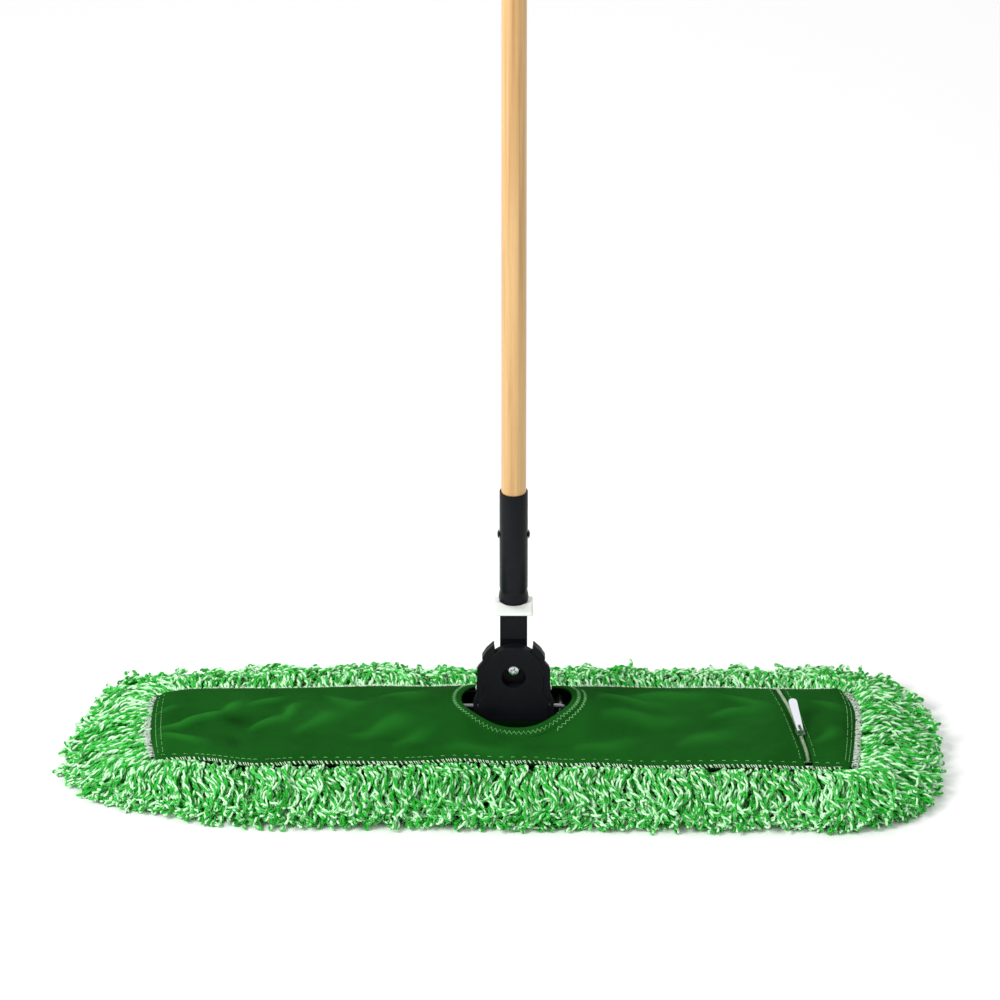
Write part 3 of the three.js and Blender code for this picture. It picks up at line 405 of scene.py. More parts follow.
def carved(bm, *tools, operation="DIFFERENCE"):
    """A bmesh with other bmeshes cut away from it, or joined to it."""
    base = scratch(bm)
    others = [scratch(tool) for tool in tools]
    for other in others:
        step = base.modifiers.new("carve", "BOOLEAN")
        step.object = other
        step.operation = operation
        step.solver = "EXACT"
    result = bmesh.new()
    result.from_object(base, bpy.context.evaluated_depsgraph_get())
    for used in (base, *others):
        mesh = used.data
        bpy.data.objects.remove(used)
        bpy.data.meshes.remove(mesh)
    bmesh.ops.remove_doubles(result, verts=result.verts, dist=1e-3)
    bmesh.ops.dissolve_limit(result, angle_limit=math.radians(0.6), verts=result.verts, edges=result.edges)
    return result


def joined(bm, *others):
    return carved(bm, *others, operation="UNION")


def softened(bm, width, segments=2, angle=38):
    """Rounds every edge that is sharper than an angle."""
    limit = math.radians(angle)
    edges = [e for e in bm.edges if len(e.link_faces) == 2 and e.calc_face_angle() > limit]
    bmesh.ops.bevel(bm, geom=edges, offset=width, offset_type="OFFSET", segments=segments, profile=0.5,
                    affect="EDGES", material=-1, clamp_overlap=True)
    return bm


def finished(name, shape, finish_name, body, stands_for=(), sharp=40, even=False):
    """A bmesh in millimetres, or a mesh in metres, as a piece that rides on a body. Flat faces keep
    their own normals where `even` is set, and the soft edges between them take up the turn."""
    mesh = shape
    if isinstance(shape, bmesh.types.BMesh):
        bmesh.ops.scale(shape, vec=(MM, MM, MM), verts=shape.verts)
        mesh = bpy.data.meshes.new(name)
        shape.to_mesh(mesh)
        shape.free()
    mesh.name = name
    mesh.polygons.foreach_set("use_smooth", [True] * len(mesh.polygons))
    mesh.set_sharp_from_angle(angle=math.radians(sharp))
    material, slot = FINISHES[finish_name]
    mesh.materials.clear()
    mesh.materials.append(material)
    piece = bpy.data.objects.new(name, mesh)
    scene.collection.objects.link(piece)
    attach(piece, body)
    if stands_for:
        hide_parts(*stands_for)
    if even:
        piece.modifiers.new("even", "WEIGHTED_NORMAL").keep_sharp = True
    return piece


def threads(name, lines, radius, resolution=1):
    """A mesh of round threads along lines of points in millimetres."""
    curve = bpy.data.curves.new(name, "CURVE")
    curve.dimensions = "3D"
    curve.bevel_depth = radius * MM
    curve.bevel_resolution = resolution
    for line in lines:
        spline = curve.splines.new("POLY")
        spline.points.add(len(line) - 1)
        flat = np.ones((len(line), 4), np.float32)
        flat[:, :3] = np.asarray(line) * MM
        spline.points.foreach_set("co", flat.ravel())
        spline.use_smooth = True
    thread = bpy.data.objects.new(name, curve)
    scene.collection.objects.link(thread)
    mesh = bpy.data.meshes.new_from_object(thread.evaluated_get(bpy.context.evaluated_depsgraph_get()))
    bpy.data.objects.remove(thread)
    bpy.data.curves.remove(curve)
    bm = bmesh.new()
    bm.from_mesh(mesh)
    bmesh.ops.holes_fill(bm, edges=[e for e in bm.edges if e.is_boundary])
    bm.to_mesh(mesh)
    bm.free()
    return mesh


def refined(node_name, finish_name, body, bevel=0.25, subdivide=0):
    """A CAD node's own shape with merged corners and softened edges, in a better finish."""
    bm = bmesh.new()
    bm.from_mesh(frame["nodes"][node_name].data)
    bmesh.ops.scale(bm, vec=(1 / MM,) * 3, verts=bm.verts)
    bmesh.ops.remove_doubles(bm, verts=bm.verts, dist=2e-3)
    if subdivide:
        piece = finished(node_name + "_smooth", bm, finish_name, body, (node_name,), sharp=60)
        step = piece.modifiers.new("subdivide", "SUBSURF")
        step.levels = step.render_levels = subdivide
        return piece
    bmesh.ops.dissolve_limit(bm, angle_limit=math.radians(1), verts=bm.verts, edges=bm.edges)
    return finished(node_name + "_smooth", softened(bm, bevel), finish_name, body, (node_name,), even=True)


# ---------------------------------------------------------------- handle, ferrule and swivel
def handle():
    low, high = box_mm("handle_shaft")
    radius = high.x
    dome = [(radius * math.cos(a), high.z - radius + radius * math.sin(a)) for a in np.linspace(0, TAU / 4, 12)]
    length = np.linspace(low.z + 1, high.z - radius, 24)[:-1]
    profile = [(0, low.z), (radius - 1, low.z)] + [(radius, z) for z in length] + dome
    finished("handle_stick", spun(profile, steps=56), "wood", "handle", ("handle_shaft",))


def ferrule():
    low, high = box_mm("ferrule")
    flare = high.x
    tube, bore, foot, top = flare - 0.8, box_mm("handle_shaft")[1].x + 0.3, low.z, high.z
    profile = [(flare, foot + 0.3), (flare, foot + 1.5), (flare - 0.2, foot + 3.4), (tube + 0.1, foot + 6.4),
               (tube - 0.35, foot + 8.2), (tube - 0.4, foot + 9.2), (tube - 0.15, foot + 11.2), (tube, foot + 13.4),
               (tube, top - 0.7), (tube - 0.25, top - 0.15), (tube - 0.6, top), (bore + 0.1, top), (bore, top - 0.3),
               (bore, foot + 7), (bore + 0.5, foot + 1), (bore + 0.7, foot), (flare - 0.3, foot)]
    finished("ferrule_tube", spun(profile, steps=72, closed=True), "steel_paint", "handle", ("ferrule",))
    low, high = box_mm("handle_rivet")
    z, seat = (low.z + high.z) / 2, tube + 0.2
    head = high.z - z
    bulge = high.x - seat
    cap = [(0, -seat - bulge)] + [(head * math.sin(a), -seat - bulge * math.cos(a)) for a in (0.35, 0.7, 1.05, 1.35)]
    cap += [(head, -seat), (2.2, -seat)]
    profile = cap + [(r, -h) for r, h in reversed(cap)]
    finished("ferrule_rivet", spun(profile, "x", (0, 0, z), 32), "steel_paint", "handle", ("handle_rivet",))


def lock_ring():
    low, high = box_mm("lock_ring")
    width, depth = high.x - low.x - 1, high.y - low.y - 1
    outer = softened(slab(round_rect(width, depth, 2.5), low.z + 0.5, high.z), 0.6, 3)
    lip = softened(slab(round_rect(width + 1, depth + 1, 2.8), low.z, low.z + 2.4), 0.6, 3)
    bore = slab(round_rect(26.6, 11, 2, steps=4), low.z - 1, high.z + 1)
    notch = block(-7, 7, -depth, -5, high.z - 2.1, high.z + 1)
    ring = carved(joined(outer, lip), bore, notch)
    finished("ring_collar", softened(ring, 0.3, 2, 50), "nylon", "lock_ring", ("lock_ring",), even=True)


def neck():
    low, high = box_mm("neck")
    half, thick = 13.0, 5.2
    ring_top = box_mm("lock_ring")[1].z
    stem_low, stem_top = PIVOT.z + 33, ring_top + 0.3
    eye = plate([(half, stem_low + 4), *arc(0, PIVOT.z, half, 0, -180, 32), (-half, stem_low + 4)], -3, 3)
    stem = slab(round_rect(2 * half, 2 * thick, 2), stem_low, stem_top + 0.5)
    disc = rod("z", 13.7, stem_top, stem_top + 2, segments=64)
    tongue = block(-6.7, 6.7, low.y + 6.4, 0, stem_top - 2.1, stem_top + 0.5)
    spigot = rod("z", 5.7, stem_top, high.z)
    bore = rod("y", 5, -9, 9, (0, PIVOT.z))
    shape = carved(joined(eye, stem, disc, tongue, spigot), bore)
    finished("neck_strap", softened(shape, 0.6, 3), "plastic", "neck", ("neck",), even=True)


# ---------------------------------------------------------------- head
HEAD_ARCH = 29.0
BASE_TOP = AXLE.z + 15
SHOULDER = AXLE.z + 21
BLOCK_TOP = PIVOT.z - 13.7              # the solid block below the two cheeks
SCREW_PLACES = [(side * 20, AXLE.z + 10.5) for side in (-1, 1)]
LATCH_PIN = (-10, SHOULDER + 4)


def head_outline(radius=HEAD_ARCH):
    """The head's face: a base with sloping shoulders under a round arch."""
    base, foot = COVER_HIGH.x, BODY_LOW.z
    return [(-base + 3, foot), (base - 3, foot), (base - 0.8, foot + 0.8), (base, foot + 3), (base, BASE_TOP - 1),
            (base - 0.8, BASE_TOP + 0.6), (radius + 0.5, SHOULDER - 0.8), (radius, SHOULDER + 1),
            *arc(0, PIVOT.z, radius, 0, 180, 56),
            (-radius, SHOULDER + 1), (-radius - 0.5, SHOULDER - 0.8), (-base + 0.8, BASE_TOP + 0.6),
            (-base, BASE_TOP - 1), (-base, foot + 3), (-base + 0.8, foot + 0.8)]


def front_cover():
    front = COVER_LOW.y
    back = front + 3
    face = softened(plate(head_outline(), front, back), 0.9, 3)
    rim_back = COVER_HIGH.y
    rim = carved(plate(head_outline(), back - 1.2, rim_back),
                 plate(head_outline(HEAD_ARCH - 2.5), back - 2, rim_back + 1),
                 block(-40, 40, -30, 30, BODY_LOW.z - 1, BLOCK_TOP + 0.3))
    window = rod("y", 11.8, front - 1, back + 1, (0, PIVOT.z - 2.7), 72)
    undercut = block(-40, 40, -10, 0, -40, 0)
    lean = Matrix.Translation((0, front, BODY_LOW.z + 11)) @ Matrix.Rotation(-0.36, 4, "X")
    bmesh.ops.transform(undercut, matrix=lean, verts=undercut.verts)
    bores = [rod("y", 1.8, -15, 0, place, 24) for place in SCREW_PLACES]
    shell = carved(joined(face, rim), window, undercut, *bores)
    finished("cover_shell", softened(shell, 0.45, 2, 42), "plastic", "head", ("front_cover",), even=True)


def head_body():
    front, rear = BODY_LOW.y, BODY_HIGH.y
    span = (-40, 40)
    base = carved(plate(head_outline(), front, rear), block(*span, front - 1, rear + 1, BLOCK_TOP, PIVOT.z + 40))
    lug = [(17, BLOCK_TOP - 1), *arc(0, PIVOT.z, 17, 0, 180, 48), (-17, BLOCK_TOP - 1)]
    whole = joined(base, plate(lug, -6, rear))
    tools = [block(*span, -3.4, 3.4, BLOCK_TOP, PIVOT.z + 40),
             rod("x", 2.9, -36, 36, (0, AXLE.z), 32), block(*span, -2.9, 2.9, BODY_LOW.z - 1, AXLE.z),
             rod("y", 3.3, -30, 30, (0, PIVOT.z), 32)]
    for side, screw in zip((-1, 1), SCREW_PLACES):
        tools.append(rod("y", 1.8, front - 1, rear + 1, screw, 24))
        for radius, depth in ((1.8, 7), (2.95, 4.5)):
            near, far = sorted((side * (HEAD_ARCH - depth), side * (HEAD_ARCH + 1)))
            tools.append(rod("x", radius, near, far, LATCH_PIN, 24))
    finished("head_fork", softened(carved(whole, *tools), 0.4, 2, 42), "plastic", "head", ("head_body",), even=True)


def latch(side, word):
    """Finger tab beside the arch, arm down its side, hook under the axle wire."""
    inner, foot = HEAD_ARCH + 0.02, COVER_HIGH.x + 0.4
    outer, toe, sole = inner + 5.98, foot + 4.2, box_mm(f"latch_{word}")[0].z

    def at(radius, degrees):
        turn = math.radians(degrees)
        return radius * math.cos(turn), PIVOT.z + radius * math.sin(turn)

    tab = [at(32.6, 26), at(34.6, 29.6), at(35.2, 31.5), at(36.2, 44), at(37.2, 58), at(36.6, 59.6),
           at(34.4, 57.4), *[at(inner + 0.4, a) for a in (53, 47, 40, 33, 26)]]

    def mirrored(points):
        return [(side * x, z) for x, z in points]

    arm = [(foot, sole), (toe - 0.8, sole), (toe, sole + 0.8), (toe, BASE_TOP - 4), (toe - 0.6, BASE_TOP - 1),
           (outer + 0.4, SHOULDER), (outer, SHOULDER + 3), (outer, PIVOT.z + 5), (outer - 1.5, PIVOT.z + 9),
           *tab, (inner, PIVOT.z + 4), (inner, SHOULDER), (foot, BASE_TOP)]
    front = COVER_LOW.y + 0.5
    boss = sorted((side * inner, side * outer))
    toes = sorted((side * foot, side * toe))
    shape = joined(plate(mirrored(arm), front, front + 4), plate(mirrored(tab), front + 1, front + 9),
                   block(*boss, front + 1, -7, SHOULDER + 0.3, SHOULDER + 8.5),
                   block(*toes, front + 1, 1.5, sole, sole + 3.4))
    bore = rod("x", 1.8, *sorted((side * (inner - 2), side * (outer + 2))), LATCH_PIN, 24)
    finished(f"latch_lever_{word}", softened(carved(shape, bore), 0.45, 2, 30), "plastic", f"latch_{word}",
             (f"latch_{word}",), even=True)


def bolt():
    low, high = box_mm("pivot_bolt")
    seat = COVER_HIGH.y
    radius, thick = high.x, seat - low.y
    crown = ((0.3, 0.0), (0.56, 0.03), (0.76, 0.12), (0.9, 0.28), (0.98, 0.5), (1, 0.75), (1, 0.97))
    profile = [(0, low.y)] + [(radius * r, low.y + thick * h) for r, h in crown]
    profile += [(radius - 0.1, seat), (3, seat), (3, high.y - 0.6), (2.4, high.y), (0, high.y)]
    head = spun(profile, "y", (0, 0, PIVOT.z), 48)
    arm, depth = radius * 0.56, low.y + 1.4
    cross = [block(-wide, wide, low.y - 1, depth, PIVOT.z - tall, PIVOT.z + tall)
             for wide, tall in ((arm, 0.7), (0.7, arm))]
    for cutter in cross:
        bmesh.ops.rotate(cutter, cent=(0, 0, PIVOT.z), matrix=Matrix.Rotation(0.35, 3, "Y"), verts=cutter.verts)
    finished("bolt_head", softened(carved(head, *cross), 0.12, 2, 45), "zinc", "head", ("pivot_bolt",))


def hardware():
    """Small metal and nylon parts that keep their CAD shape, with softened edges."""
    for name, material, body, bevel in (
            ("pivot_washer", "zinc", "head", 0.25), ("pivot_nut", "zinc", "head", 0.35),
            ("eye_bush", "nylon", "neck", 0.25), ("swivel_washer", "zinc", "neck", 0.25),
            ("swivel_clip", "zinc", "neck", 0.25), ("swivel_bush", "nylon", "handle", 0.25)):
        refined(name, material, body, bevel)
    for word in ("left", "right"):
        refined(f"latch_pin_{word}", "zinc", "head", 0.2)
        refined(f"cover_screw_{word}", "zinc", "head", 0.15)
        refined(f"latch_spring_{word}", "zinc", "head", subdivide=1)


def wires():
    """The drawn wire frame in the pocket."""
    for name in ("outer_wire", "cross_wire_left", "cross_wire_right", "axle_wire"):
        refined(name, "wire", "mop_pad", subdivide=1)


# ---------------------------------------------------------------- canvas
# how far the sewn long edges wander off straight, as (place along the mop, shift)
FRONT_WANDER = ((-345, 4), (-315, 7), (-245, -6), (-200, -1), (-125, -4), (-60, 2), (10, -2), (70, -7), (125, -10),
                (185, -10), (280, -12), (329, -17))
BACK_WANDER = ((-345, -26), (-310, -15), (-110, -9), (-40, -8), (40, -9), (180, -13), (250, -15), (329, -15))
FOLD_DEPTH = 3.1
CROWN_HEIGHT = 18.5
CROWN_HALF = (152, 57)                  # where the crown meets the flat pocket
CORNER = 14                             # the pad's corner radius
# soft ridges in the canvas: start, end, half width, height
FOLDS = (
    ((-340, -23), (-318, -21), 4, 1.1), ((-322, -21), (-290, 1), 5, 1.6), ((-292, 0), (-258, 28), 6, 1.5),
    ((-336, -36), (-290, -57), 5, 1.2), ((-340, 13), (-322, 22), 4, 0.9), ((-250, -28), (-218, -3), 6, 1.3),
    ((-219, -4), (-204, 24), 6, 1.3), ((-250, 20), (-220, 40), 5, 1.1), ((-272, -40), (-262, -64), 7, -0.6),
    ((-285, 14), (-246, -20), 9, -1.0), ((-205, -30), (-160, 10), 8, 0.9), ((-180, 40), (-140, 8), 7, 0.8),
    ((-150, -40), (-95, -22), 8, 0.8), ((-130, 30), (-80, 10), 8, 0.9), ((-110, -60), (-80, -40), 7, 0.8),
    ((85, 10), (150, 22), 8, 1.0), ((90, -20), (165, -10), 9, 0.9), ((110, 40), (190, 46), 8, 0.9),
    ((160, -52), (215, -30), 8, 0.9), ((190, 0), (240, 14), 7, 0.9), ((205, 40), (246, 20), 7, 0.8),
    ((60, -62), (120, -50), 7, 0.7), ((-60, -62), (10, -68), 8, 0.7), ((292, -50), (312, -20), 6, 0.9),
    ((290, 30), (318, 12), 6, 0.8),
)


def eased(places, x):
    """A smooth value through (place, value) points."""
    for (x0, v0), (x1, v1) in zip(places, places[1:]):
        if x <= x1:
            t = min(max((x - x0) / (x1 - x0), 0), 1)
            return v0 + (v1 - v0) * t * t * (3 - 2 * t)
    return places[-1][1]


def fold_height(x, y):
    """How much the soft folds lift the canvas here. They wander a little and fade out at both ends."""
    lift = 0.0
    x, y = x + 2.2 * math.sin(y / 7.3 + x / 31), y + 2.0 * math.sin(x / 9.1 + y / 26)
    for (x0, y0), (x1, y1), width, height in FOLDS:
        along = Vector((x1 - x0, y1 - y0))
        t = min(max(((x - x0) * along.x + (y - y0) * along.y) / along.length_squared, 0), 1)
        away = math.hypot(x - x0 - along.x * t, y - y0 - along.y * t) / (width * (0.8 + 0.7 * t))
        if away < 3:
            lift += height * math.exp(-away * away) * (0.25 + 0.75 * math.sin(math.pi * min(1, 0.12 + 0.88 * t)))
    return FOLD_DEPTH * lift


def end_wander(x, y):
    """How far the sewn ends lie off straight: both bulge, the right one more towards its back corner."""
    left, right = max(0.0, (PAD_LOW.x + 60 - x) / 60), max(0.0, (x - PAD_HIGH.x + 60) / 60)
    bow = (y - 8) / 72
    return left ** 2 * (5 * bow * bow - 5) + right ** 2 * (1 - (13 if bow > 0 else 6) * bow * bow)


def pocket_point(x, y):
    """Where a point of the flat pocket panel lies once it is sewn down over the frame."""
    edge = abs(y) / PAD_HALF
    wander = eased(FRONT_WANDER if y < 0 else BACK_WANDER, x)
    side = max(0.0, (abs(y) - 58) / (PAD_HALF - 58))
    end = max(0.0, (PAD_LOW.x + 22 - x) / 22, (x - PAD_HIGH.x + 22) / 22)
    flat = POCKET_TOP - max((8.2 if y < 0 else 5.6) * side ** 2, 8.2 * end ** 2)
    reach = ((x - FRAME_X) / CROWN_HALF[0]) ** 2 + (y / CROWN_HALF[1]) ** 2
    crown = flat + CROWN_HEIGHT * math.sin(TAU / 4 * max(0.0, 1 - reach / 1.1) ** 0.7) ** 2
    slack = 1.5 * math.sin(x / 37 + 0.4) * math.cos(y / 29) * (1 - min(1, edge) ** 2)
    calm = min(1.0, max(0.0, (1 - edge) * 4)) * min(1.0, max(0.0, (1 - end) * 2))
    ripple = 0.7 * math.sin(x / 14.5 + 2.2 * math.sin(x / 61)) * edge ** 6
    dip = 5.5 * math.exp(-((x - HOLE.x) / 52) ** 4 - ((y + 44) / 12) ** 2)
    dip += 1.5 * math.exp(-((x - HOLE.x) / 52) ** 4 - ((y - 48) / 12) ** 2)
    z = crown - dip + calm * (fold_height(x, y) + slack) + ripple
    if FRAME_HIGH.y - 10 < abs(y) < FRAME_HIGH.y + 1 and FRAME_LOW.x < x < FRAME_HIGH.x:
        z = max(z, FRAME_HIGH.z + CLOTH_THICK + 0.2)
    return Vector((x + end_wander(x, y), y + wander * edge ** 2, z))


def panel(x_low, x_high, slope_low, slope_high, step=3.3):
    """A flat panel of canvas between two cuts that lean by a slope, shaped over the frame."""
    bm = bmesh.new()
    columns, rows = int((x_high - x_low) / step), int(2 * PAD_HALF / step)
    bmesh.ops.create_grid(bm, x_segments=columns, y_segments=rows, size=1)
    for v in bm.verts:
        t, y = (v.co.x + 1) / 2, v.co.y * PAD_HALF
        low, high = x_low - slope_low * y, x_high - slope_high * y
        v.co = (low + (high - low) * t, y, 0)
    return bm


def cut_hole(bm):
    """Opens the oval hole for the head and pulls its edge onto a true oval."""
    def reach(v):
        return math.hypot((v.co.x - HOLE.x) / HOLE_HALF.x, (v.co.y - HOLE.y) / HOLE_HALF.y)
    inside = [f for f in bm.faces if all(reach(v) < 1.02 for v in f.verts)]
    bmesh.ops.delete(bm, geom=inside, context="FACES")
    for v in [v for v in bm.verts if v.is_boundary and reach(v) < 1.3]:
        k = 1 / reach(v)
        v.co.x = HOLE.x + (v.co.x - HOLE.x) * k
        v.co.y = HOLE.y + (v.co.y - HOLE.y) * k


def shape_panel(bm):
    """Rounds the corners and lays the panel over the frame, and keeps each point's fold height for the painted light
    and shade on the folds.
    """
    painted_fold_shading = bm.verts.layers.float.new("painted_fold_shading")
    for v in bm.verts:
        for edge, sign in ((PAD_LOW.x, -1), (PAD_HIGH.x, 1)):
            dx, dy = sign * (v.co.x - edge) + CORNER, abs(v.co.y) - PAD_HALF + CORNER
            if dx > 0 and dy > 0:
                k = max(dx, dy) / math.hypot(dx, dy)
                v.co.x += sign * (dx * k - dx)
                v.co.y += math.copysign(dy * k - dy, v.co.y)
        # the fold height, kept for the canvas finish's painted light on ridges and painted shade in hollows
        v[painted_fold_shading] = fold_height(v.co.x, v.co.y) / FOLD_DEPTH
        v.co = pocket_point(v.co.x, v.co.y)


def thickened(bm, name, body, finish_name, stands_for, thick=CLOTH_THICK):
    """A canvas panel as a piece with its thickness."""
    piece = finished(name, bm, finish_name, body, stands_for, sharp=180)
    step = piece.modifiers.new("thickness", "SOLIDIFY")
    step.thickness = thick * MM
    step.offset = -1
    return piece


CLOTH_GAP = 3.8                         # from the zip's middle to each panel's folded edge


def canvas():
    """The two pocket panels on either side of the zip, and the base cloth under the frame."""
    top = panel(PAD_LOW.x, ZIP_X - CLOTH_GAP, 0, ZIP_SLOPE)
    cut_hole(top)
    shape_panel(top)
    end = panel(ZIP_X + CLOTH_GAP, PAD_HIGH.x, ZIP_SLOPE, 0)
    shape_panel(end)
    top = thickened(top, "pocket_canvas", "mop_pad", "canvas", ("pocket_top",))
    end = thickened(end, "pocket_end_canvas", "mop_pad", "canvas", ("pocket_end",))
    base = panel(PAD_LOW.x, PAD_HIGH.x, 0, 0, 6)
    shape_panel(base)
    for v in base.verts:
        v.co.z = PAD_HIGH.z - 0.4 + 0.25 * math.sin(v.co.x / 23) * math.cos(v.co.y / 19)
    # the base cloth takes the darkened canvas: painted shade where it shows through the hole
    base = thickened(base, "base_canvas", "mop_pad", "canvas_painted_shade", ("base_cloth",), 1.9)
    return top, end, base


def surface_of(*pieces):
    """A function that gives the height of the canvas at a place, in millimetres."""
    trees = []
    for piece in pieces:
        bm = bmesh.new()
        bm.from_mesh(piece.data)
        trees.append(BVHTree.FromBMesh(bm))
        bm.free()

    def height(x, y):
        start = Vector((x, y, 200)) * MM
        hits = [t.ray_cast(start, Vector((0, 0, -1)))[0] for t in trees]
        found = [h.z for h in hits if h]
        if found:
            return max(found) / MM
        near = [t.find_nearest(Vector((x, y, 38)) * MM)[0] for t in trees]
        return min(near, key=lambda p: math.hypot(p.x / MM - x, p.y / MM - y)).z / MM
    return height


# ---------------------------------------------------------------- hem, stitches and bindings
def oval(angle, grow):
    """A place on the hole's oval, grown outward by millimetres."""
    return (HOLE.x + (HOLE_HALF.x + grow) * math.cos(angle), HOLE.y + (HOLE_HALF.y + grow) * math.sin(angle))


def hole_hem(height):
    """The folded hem round the hole, with its zigzag stitching."""
    section = [(-0.9, -1.6), (-1.2, -0.6), (-0.9, 0.4), (0.0, 0.9), (1.2, 1.0), (3.4, 0.9), (7.6, 0.9), (9.2, 0.6),
               (9.6, 0.0), (9.2, -0.5), (3.0, -0.6), (0.5, -1.7)]
    bm = spun([(10 + r, h) for r, h in section], steps=144, closed=True)
    for v in bm.verts:
        angle, grow, lift = math.atan2(v.co.y, v.co.x), math.hypot(v.co.x, v.co.y) - 10, v.co.z
        x, y = oval(angle, grow)
        hx, hy = oval(angle, max(grow, 1.2))
        v.co = (x, y, height(hx, hy) + lift + 0.25 * math.sin(9 * angle) * min(1, max(0, grow / 4)))
    hem = finished("hole_rim", bm, "hem_cloth", "mop_pad", ("hole_hem",), sharp=180)
    rows = []
    zags = 164
    for count, start, odd, even, lift in ((zags + 3, -0.35, 4.4, 7.4, 1.3), (34, -0.95, 10.6, 13.2, 0.45)):
        row = []
        for i in range(count):
            x, y = oval(start + TAU * i / zags, odd if i % 2 else even)
            row.append((x, y, height(x, y) + lift))
        rows.append(row)
    zigzag = finished("hem_zigzag", threads("hem_zigzag", rows, 0.42), "stitch", "mop_pad")
    return hem, zigzag


def dashes(points, height, length=3.0, gap=1.6, lift=0.25):
    """Short stitches along a line on the canvas."""
    lines = []
    for (x0, y0), (x1, y1) in zip(points, points[1:]):
        span = math.hypot(x1 - x0, y1 - y0)
        ux, uy = (x1 - x0) / span, (y1 - y0) / span
        for i in range(int(span / (length + gap))):
            line = []
            for part, sink in ((0, -0.5), (0.25, 0.2), (0.75, 0.2), (1, -0.5)):
                d = i * (length + gap) + part * length
                x, y = x0 + ux * d, y0 + uy * d
                line.append((x, y, height(x, y) + lift + sink * 0.6))
            lines.append(line)
    return lines


def edge_line(y, x_from, x_to, inset, steps=60):
    """A line inside a long edge of the pad, following its wander."""
    side = math.copysign(1, y)
    return [tuple(pocket_point(x, side * (PAD_HALF - inset)).xy) for x in np.linspace(x_from, x_to, steps)]


def stitching(height):
    """Top stitching along the panels' edges."""
    left, right = PAD_LOW.x, PAD_HIGH.x
    lines = []
    for x in (left + 5.5, left + 10, right - 5, right - 9):
        lines += dashes([tuple(pocket_point(x, y).xy) for y in np.linspace(-70, 68, 12)], height, 2.8, 1.1)
    lines += dashes(edge_line(-1, left + 8, right - 8, 4.7), height, 3.4, 2.2)
    lines += dashes(edge_line(1, left + 16, right - 8, 8.5), height, 3.4, 2.2, 0.6)
    return finished("top_stitching", threads("top_stitching", lines, 0.3, 0), "stitch", "mop_pad")


def wound(path, width, tall, pitch, seed, turn_steps=8):
    """A thread wound round a path: overlock stitching over a cloth edge."""
    rng = np.random.default_rng(seed)
    points = np.array(path, float)
    steps = np.r_[0, np.cumsum(np.linalg.norm(np.diff(points, axis=0), axis=1))]
    count = int(steps[-1] / pitch * turn_steps)
    along = np.linspace(0, steps[-1], count)
    centre = np.stack([np.interp(along, steps, points[:, k]) for k in range(3)], 1)
    heading = np.gradient(centre[:, :2], axis=0)
    heading /= np.linalg.norm(heading, axis=1, keepdims=True)
    across = np.stack([-heading[:, 1], heading[:, 0], np.zeros(count)], 1)
    angle = TAU * np.arange(count) / turn_steps
    wobble = np.repeat(rng.uniform(0.86, 1.12, count // turn_steps + 1), turn_steps)[:count]
    line = centre + across * (np.cos(angle) * width / 2 * wobble)[:, None]
    line[:, 2] += np.sin(angle) * tall / 2 * wobble
    return line


def bindings():
    """Serged short ends and overlocked long edges."""
    for side, word, edge in ((-1, "left", PAD_LOW.x), (1, "right", PAD_HIGH.x)):
        span = [pocket_point(edge, y) for y in np.linspace(-73, 70, 40)]
        path = [(p.x + side * 1.2 + 0.7 * math.sin(p.y / 17), p.y, p.z - 0.6) for p in span]
        rows = [wound(path, 7.4, 4.6, 1.5, 11), wound(path, 6.6, 4.0, 2.1, 12), wound(path, 5.0, 3.2, 2.9, 13)]
        finished(f"serged_end_{word}", threads("serged_end", rows, 0.5, 0), "serging", "mop_pad",
                 (f"end_binding_{word}",))
    for side, word in ((-1, "front"), (1, "back")):
        span = [pocket_point(x, side * PAD_HALF) for x in np.linspace(PAD_LOW.x + 12, PAD_HIGH.x - 12, 150)]
        over, rise = (1.0, 0.1) if side < 0 else (3.0, 1.9)
        path = [(p.x, p.y - side * over, p.z + rise) for p in span]
        rows = [wound(path, 3.6, 2.8, 4.4, 21), wound(path, 3.0, 2.4, 5.1, 22)]
        rows.append([(x, y - side * 1.9, z + 1.0) for x, y, z in path])
        finished(f"overlock_{word}", threads("overlock", rows, 0.45, 0), "overlock", "mop_pad",
                 (f"edge_binding_{word}",))


# ---------------------------------------------------------------- zip
ZIP_START, ZIP_END = -74.0, 75.0        # the zip's two ends, along it from its middle
COIL_PITCH = 1.5


def zip_place(across, along):
    """A place on the zip, from distances across it and along it from its middle."""
    length = math.hypot(1, ZIP_SLOPE)
    ux, uy = -ZIP_SLOPE / length, 1 / length
    return ZIP_X + uy * across + ux * along, -ux * across + uy * along


def zip_coils():
    """Two interlocked nylon coils along the chain."""
    rows = []
    steps = int((ZIP_END - ZIP_START) / COIL_PITCH) * 8
    for side in (-1, 1):
        row = []
        for i in range(steps):
            angle = TAU * i / 8 + (math.pi if side > 0 else 0)
            along = ZIP_START + (ZIP_END - ZIP_START) * i / steps
            place = pocket_point(*zip_place(side * 0.6 - side * 0.9 * math.cos(angle), along))
            row.append((place.x, place.y, chain_level(*zip_place(0, along)) + 1.0 + 0.85 * math.sin(angle)))
        rows.append(row)
    finished("zip_coils", threads("zip_coils", rows, 0.36, 0), "coil", "mop_pad", ("zip_chain",))


def chain_level(x, y):
    """The level of the zip's tapes, a little under the panels on either side."""
    edge = min(1.0, abs(y) / PAD_HALF)
    return pocket_point(x, y).z - 0.6 - 0.8 * edge ** 4


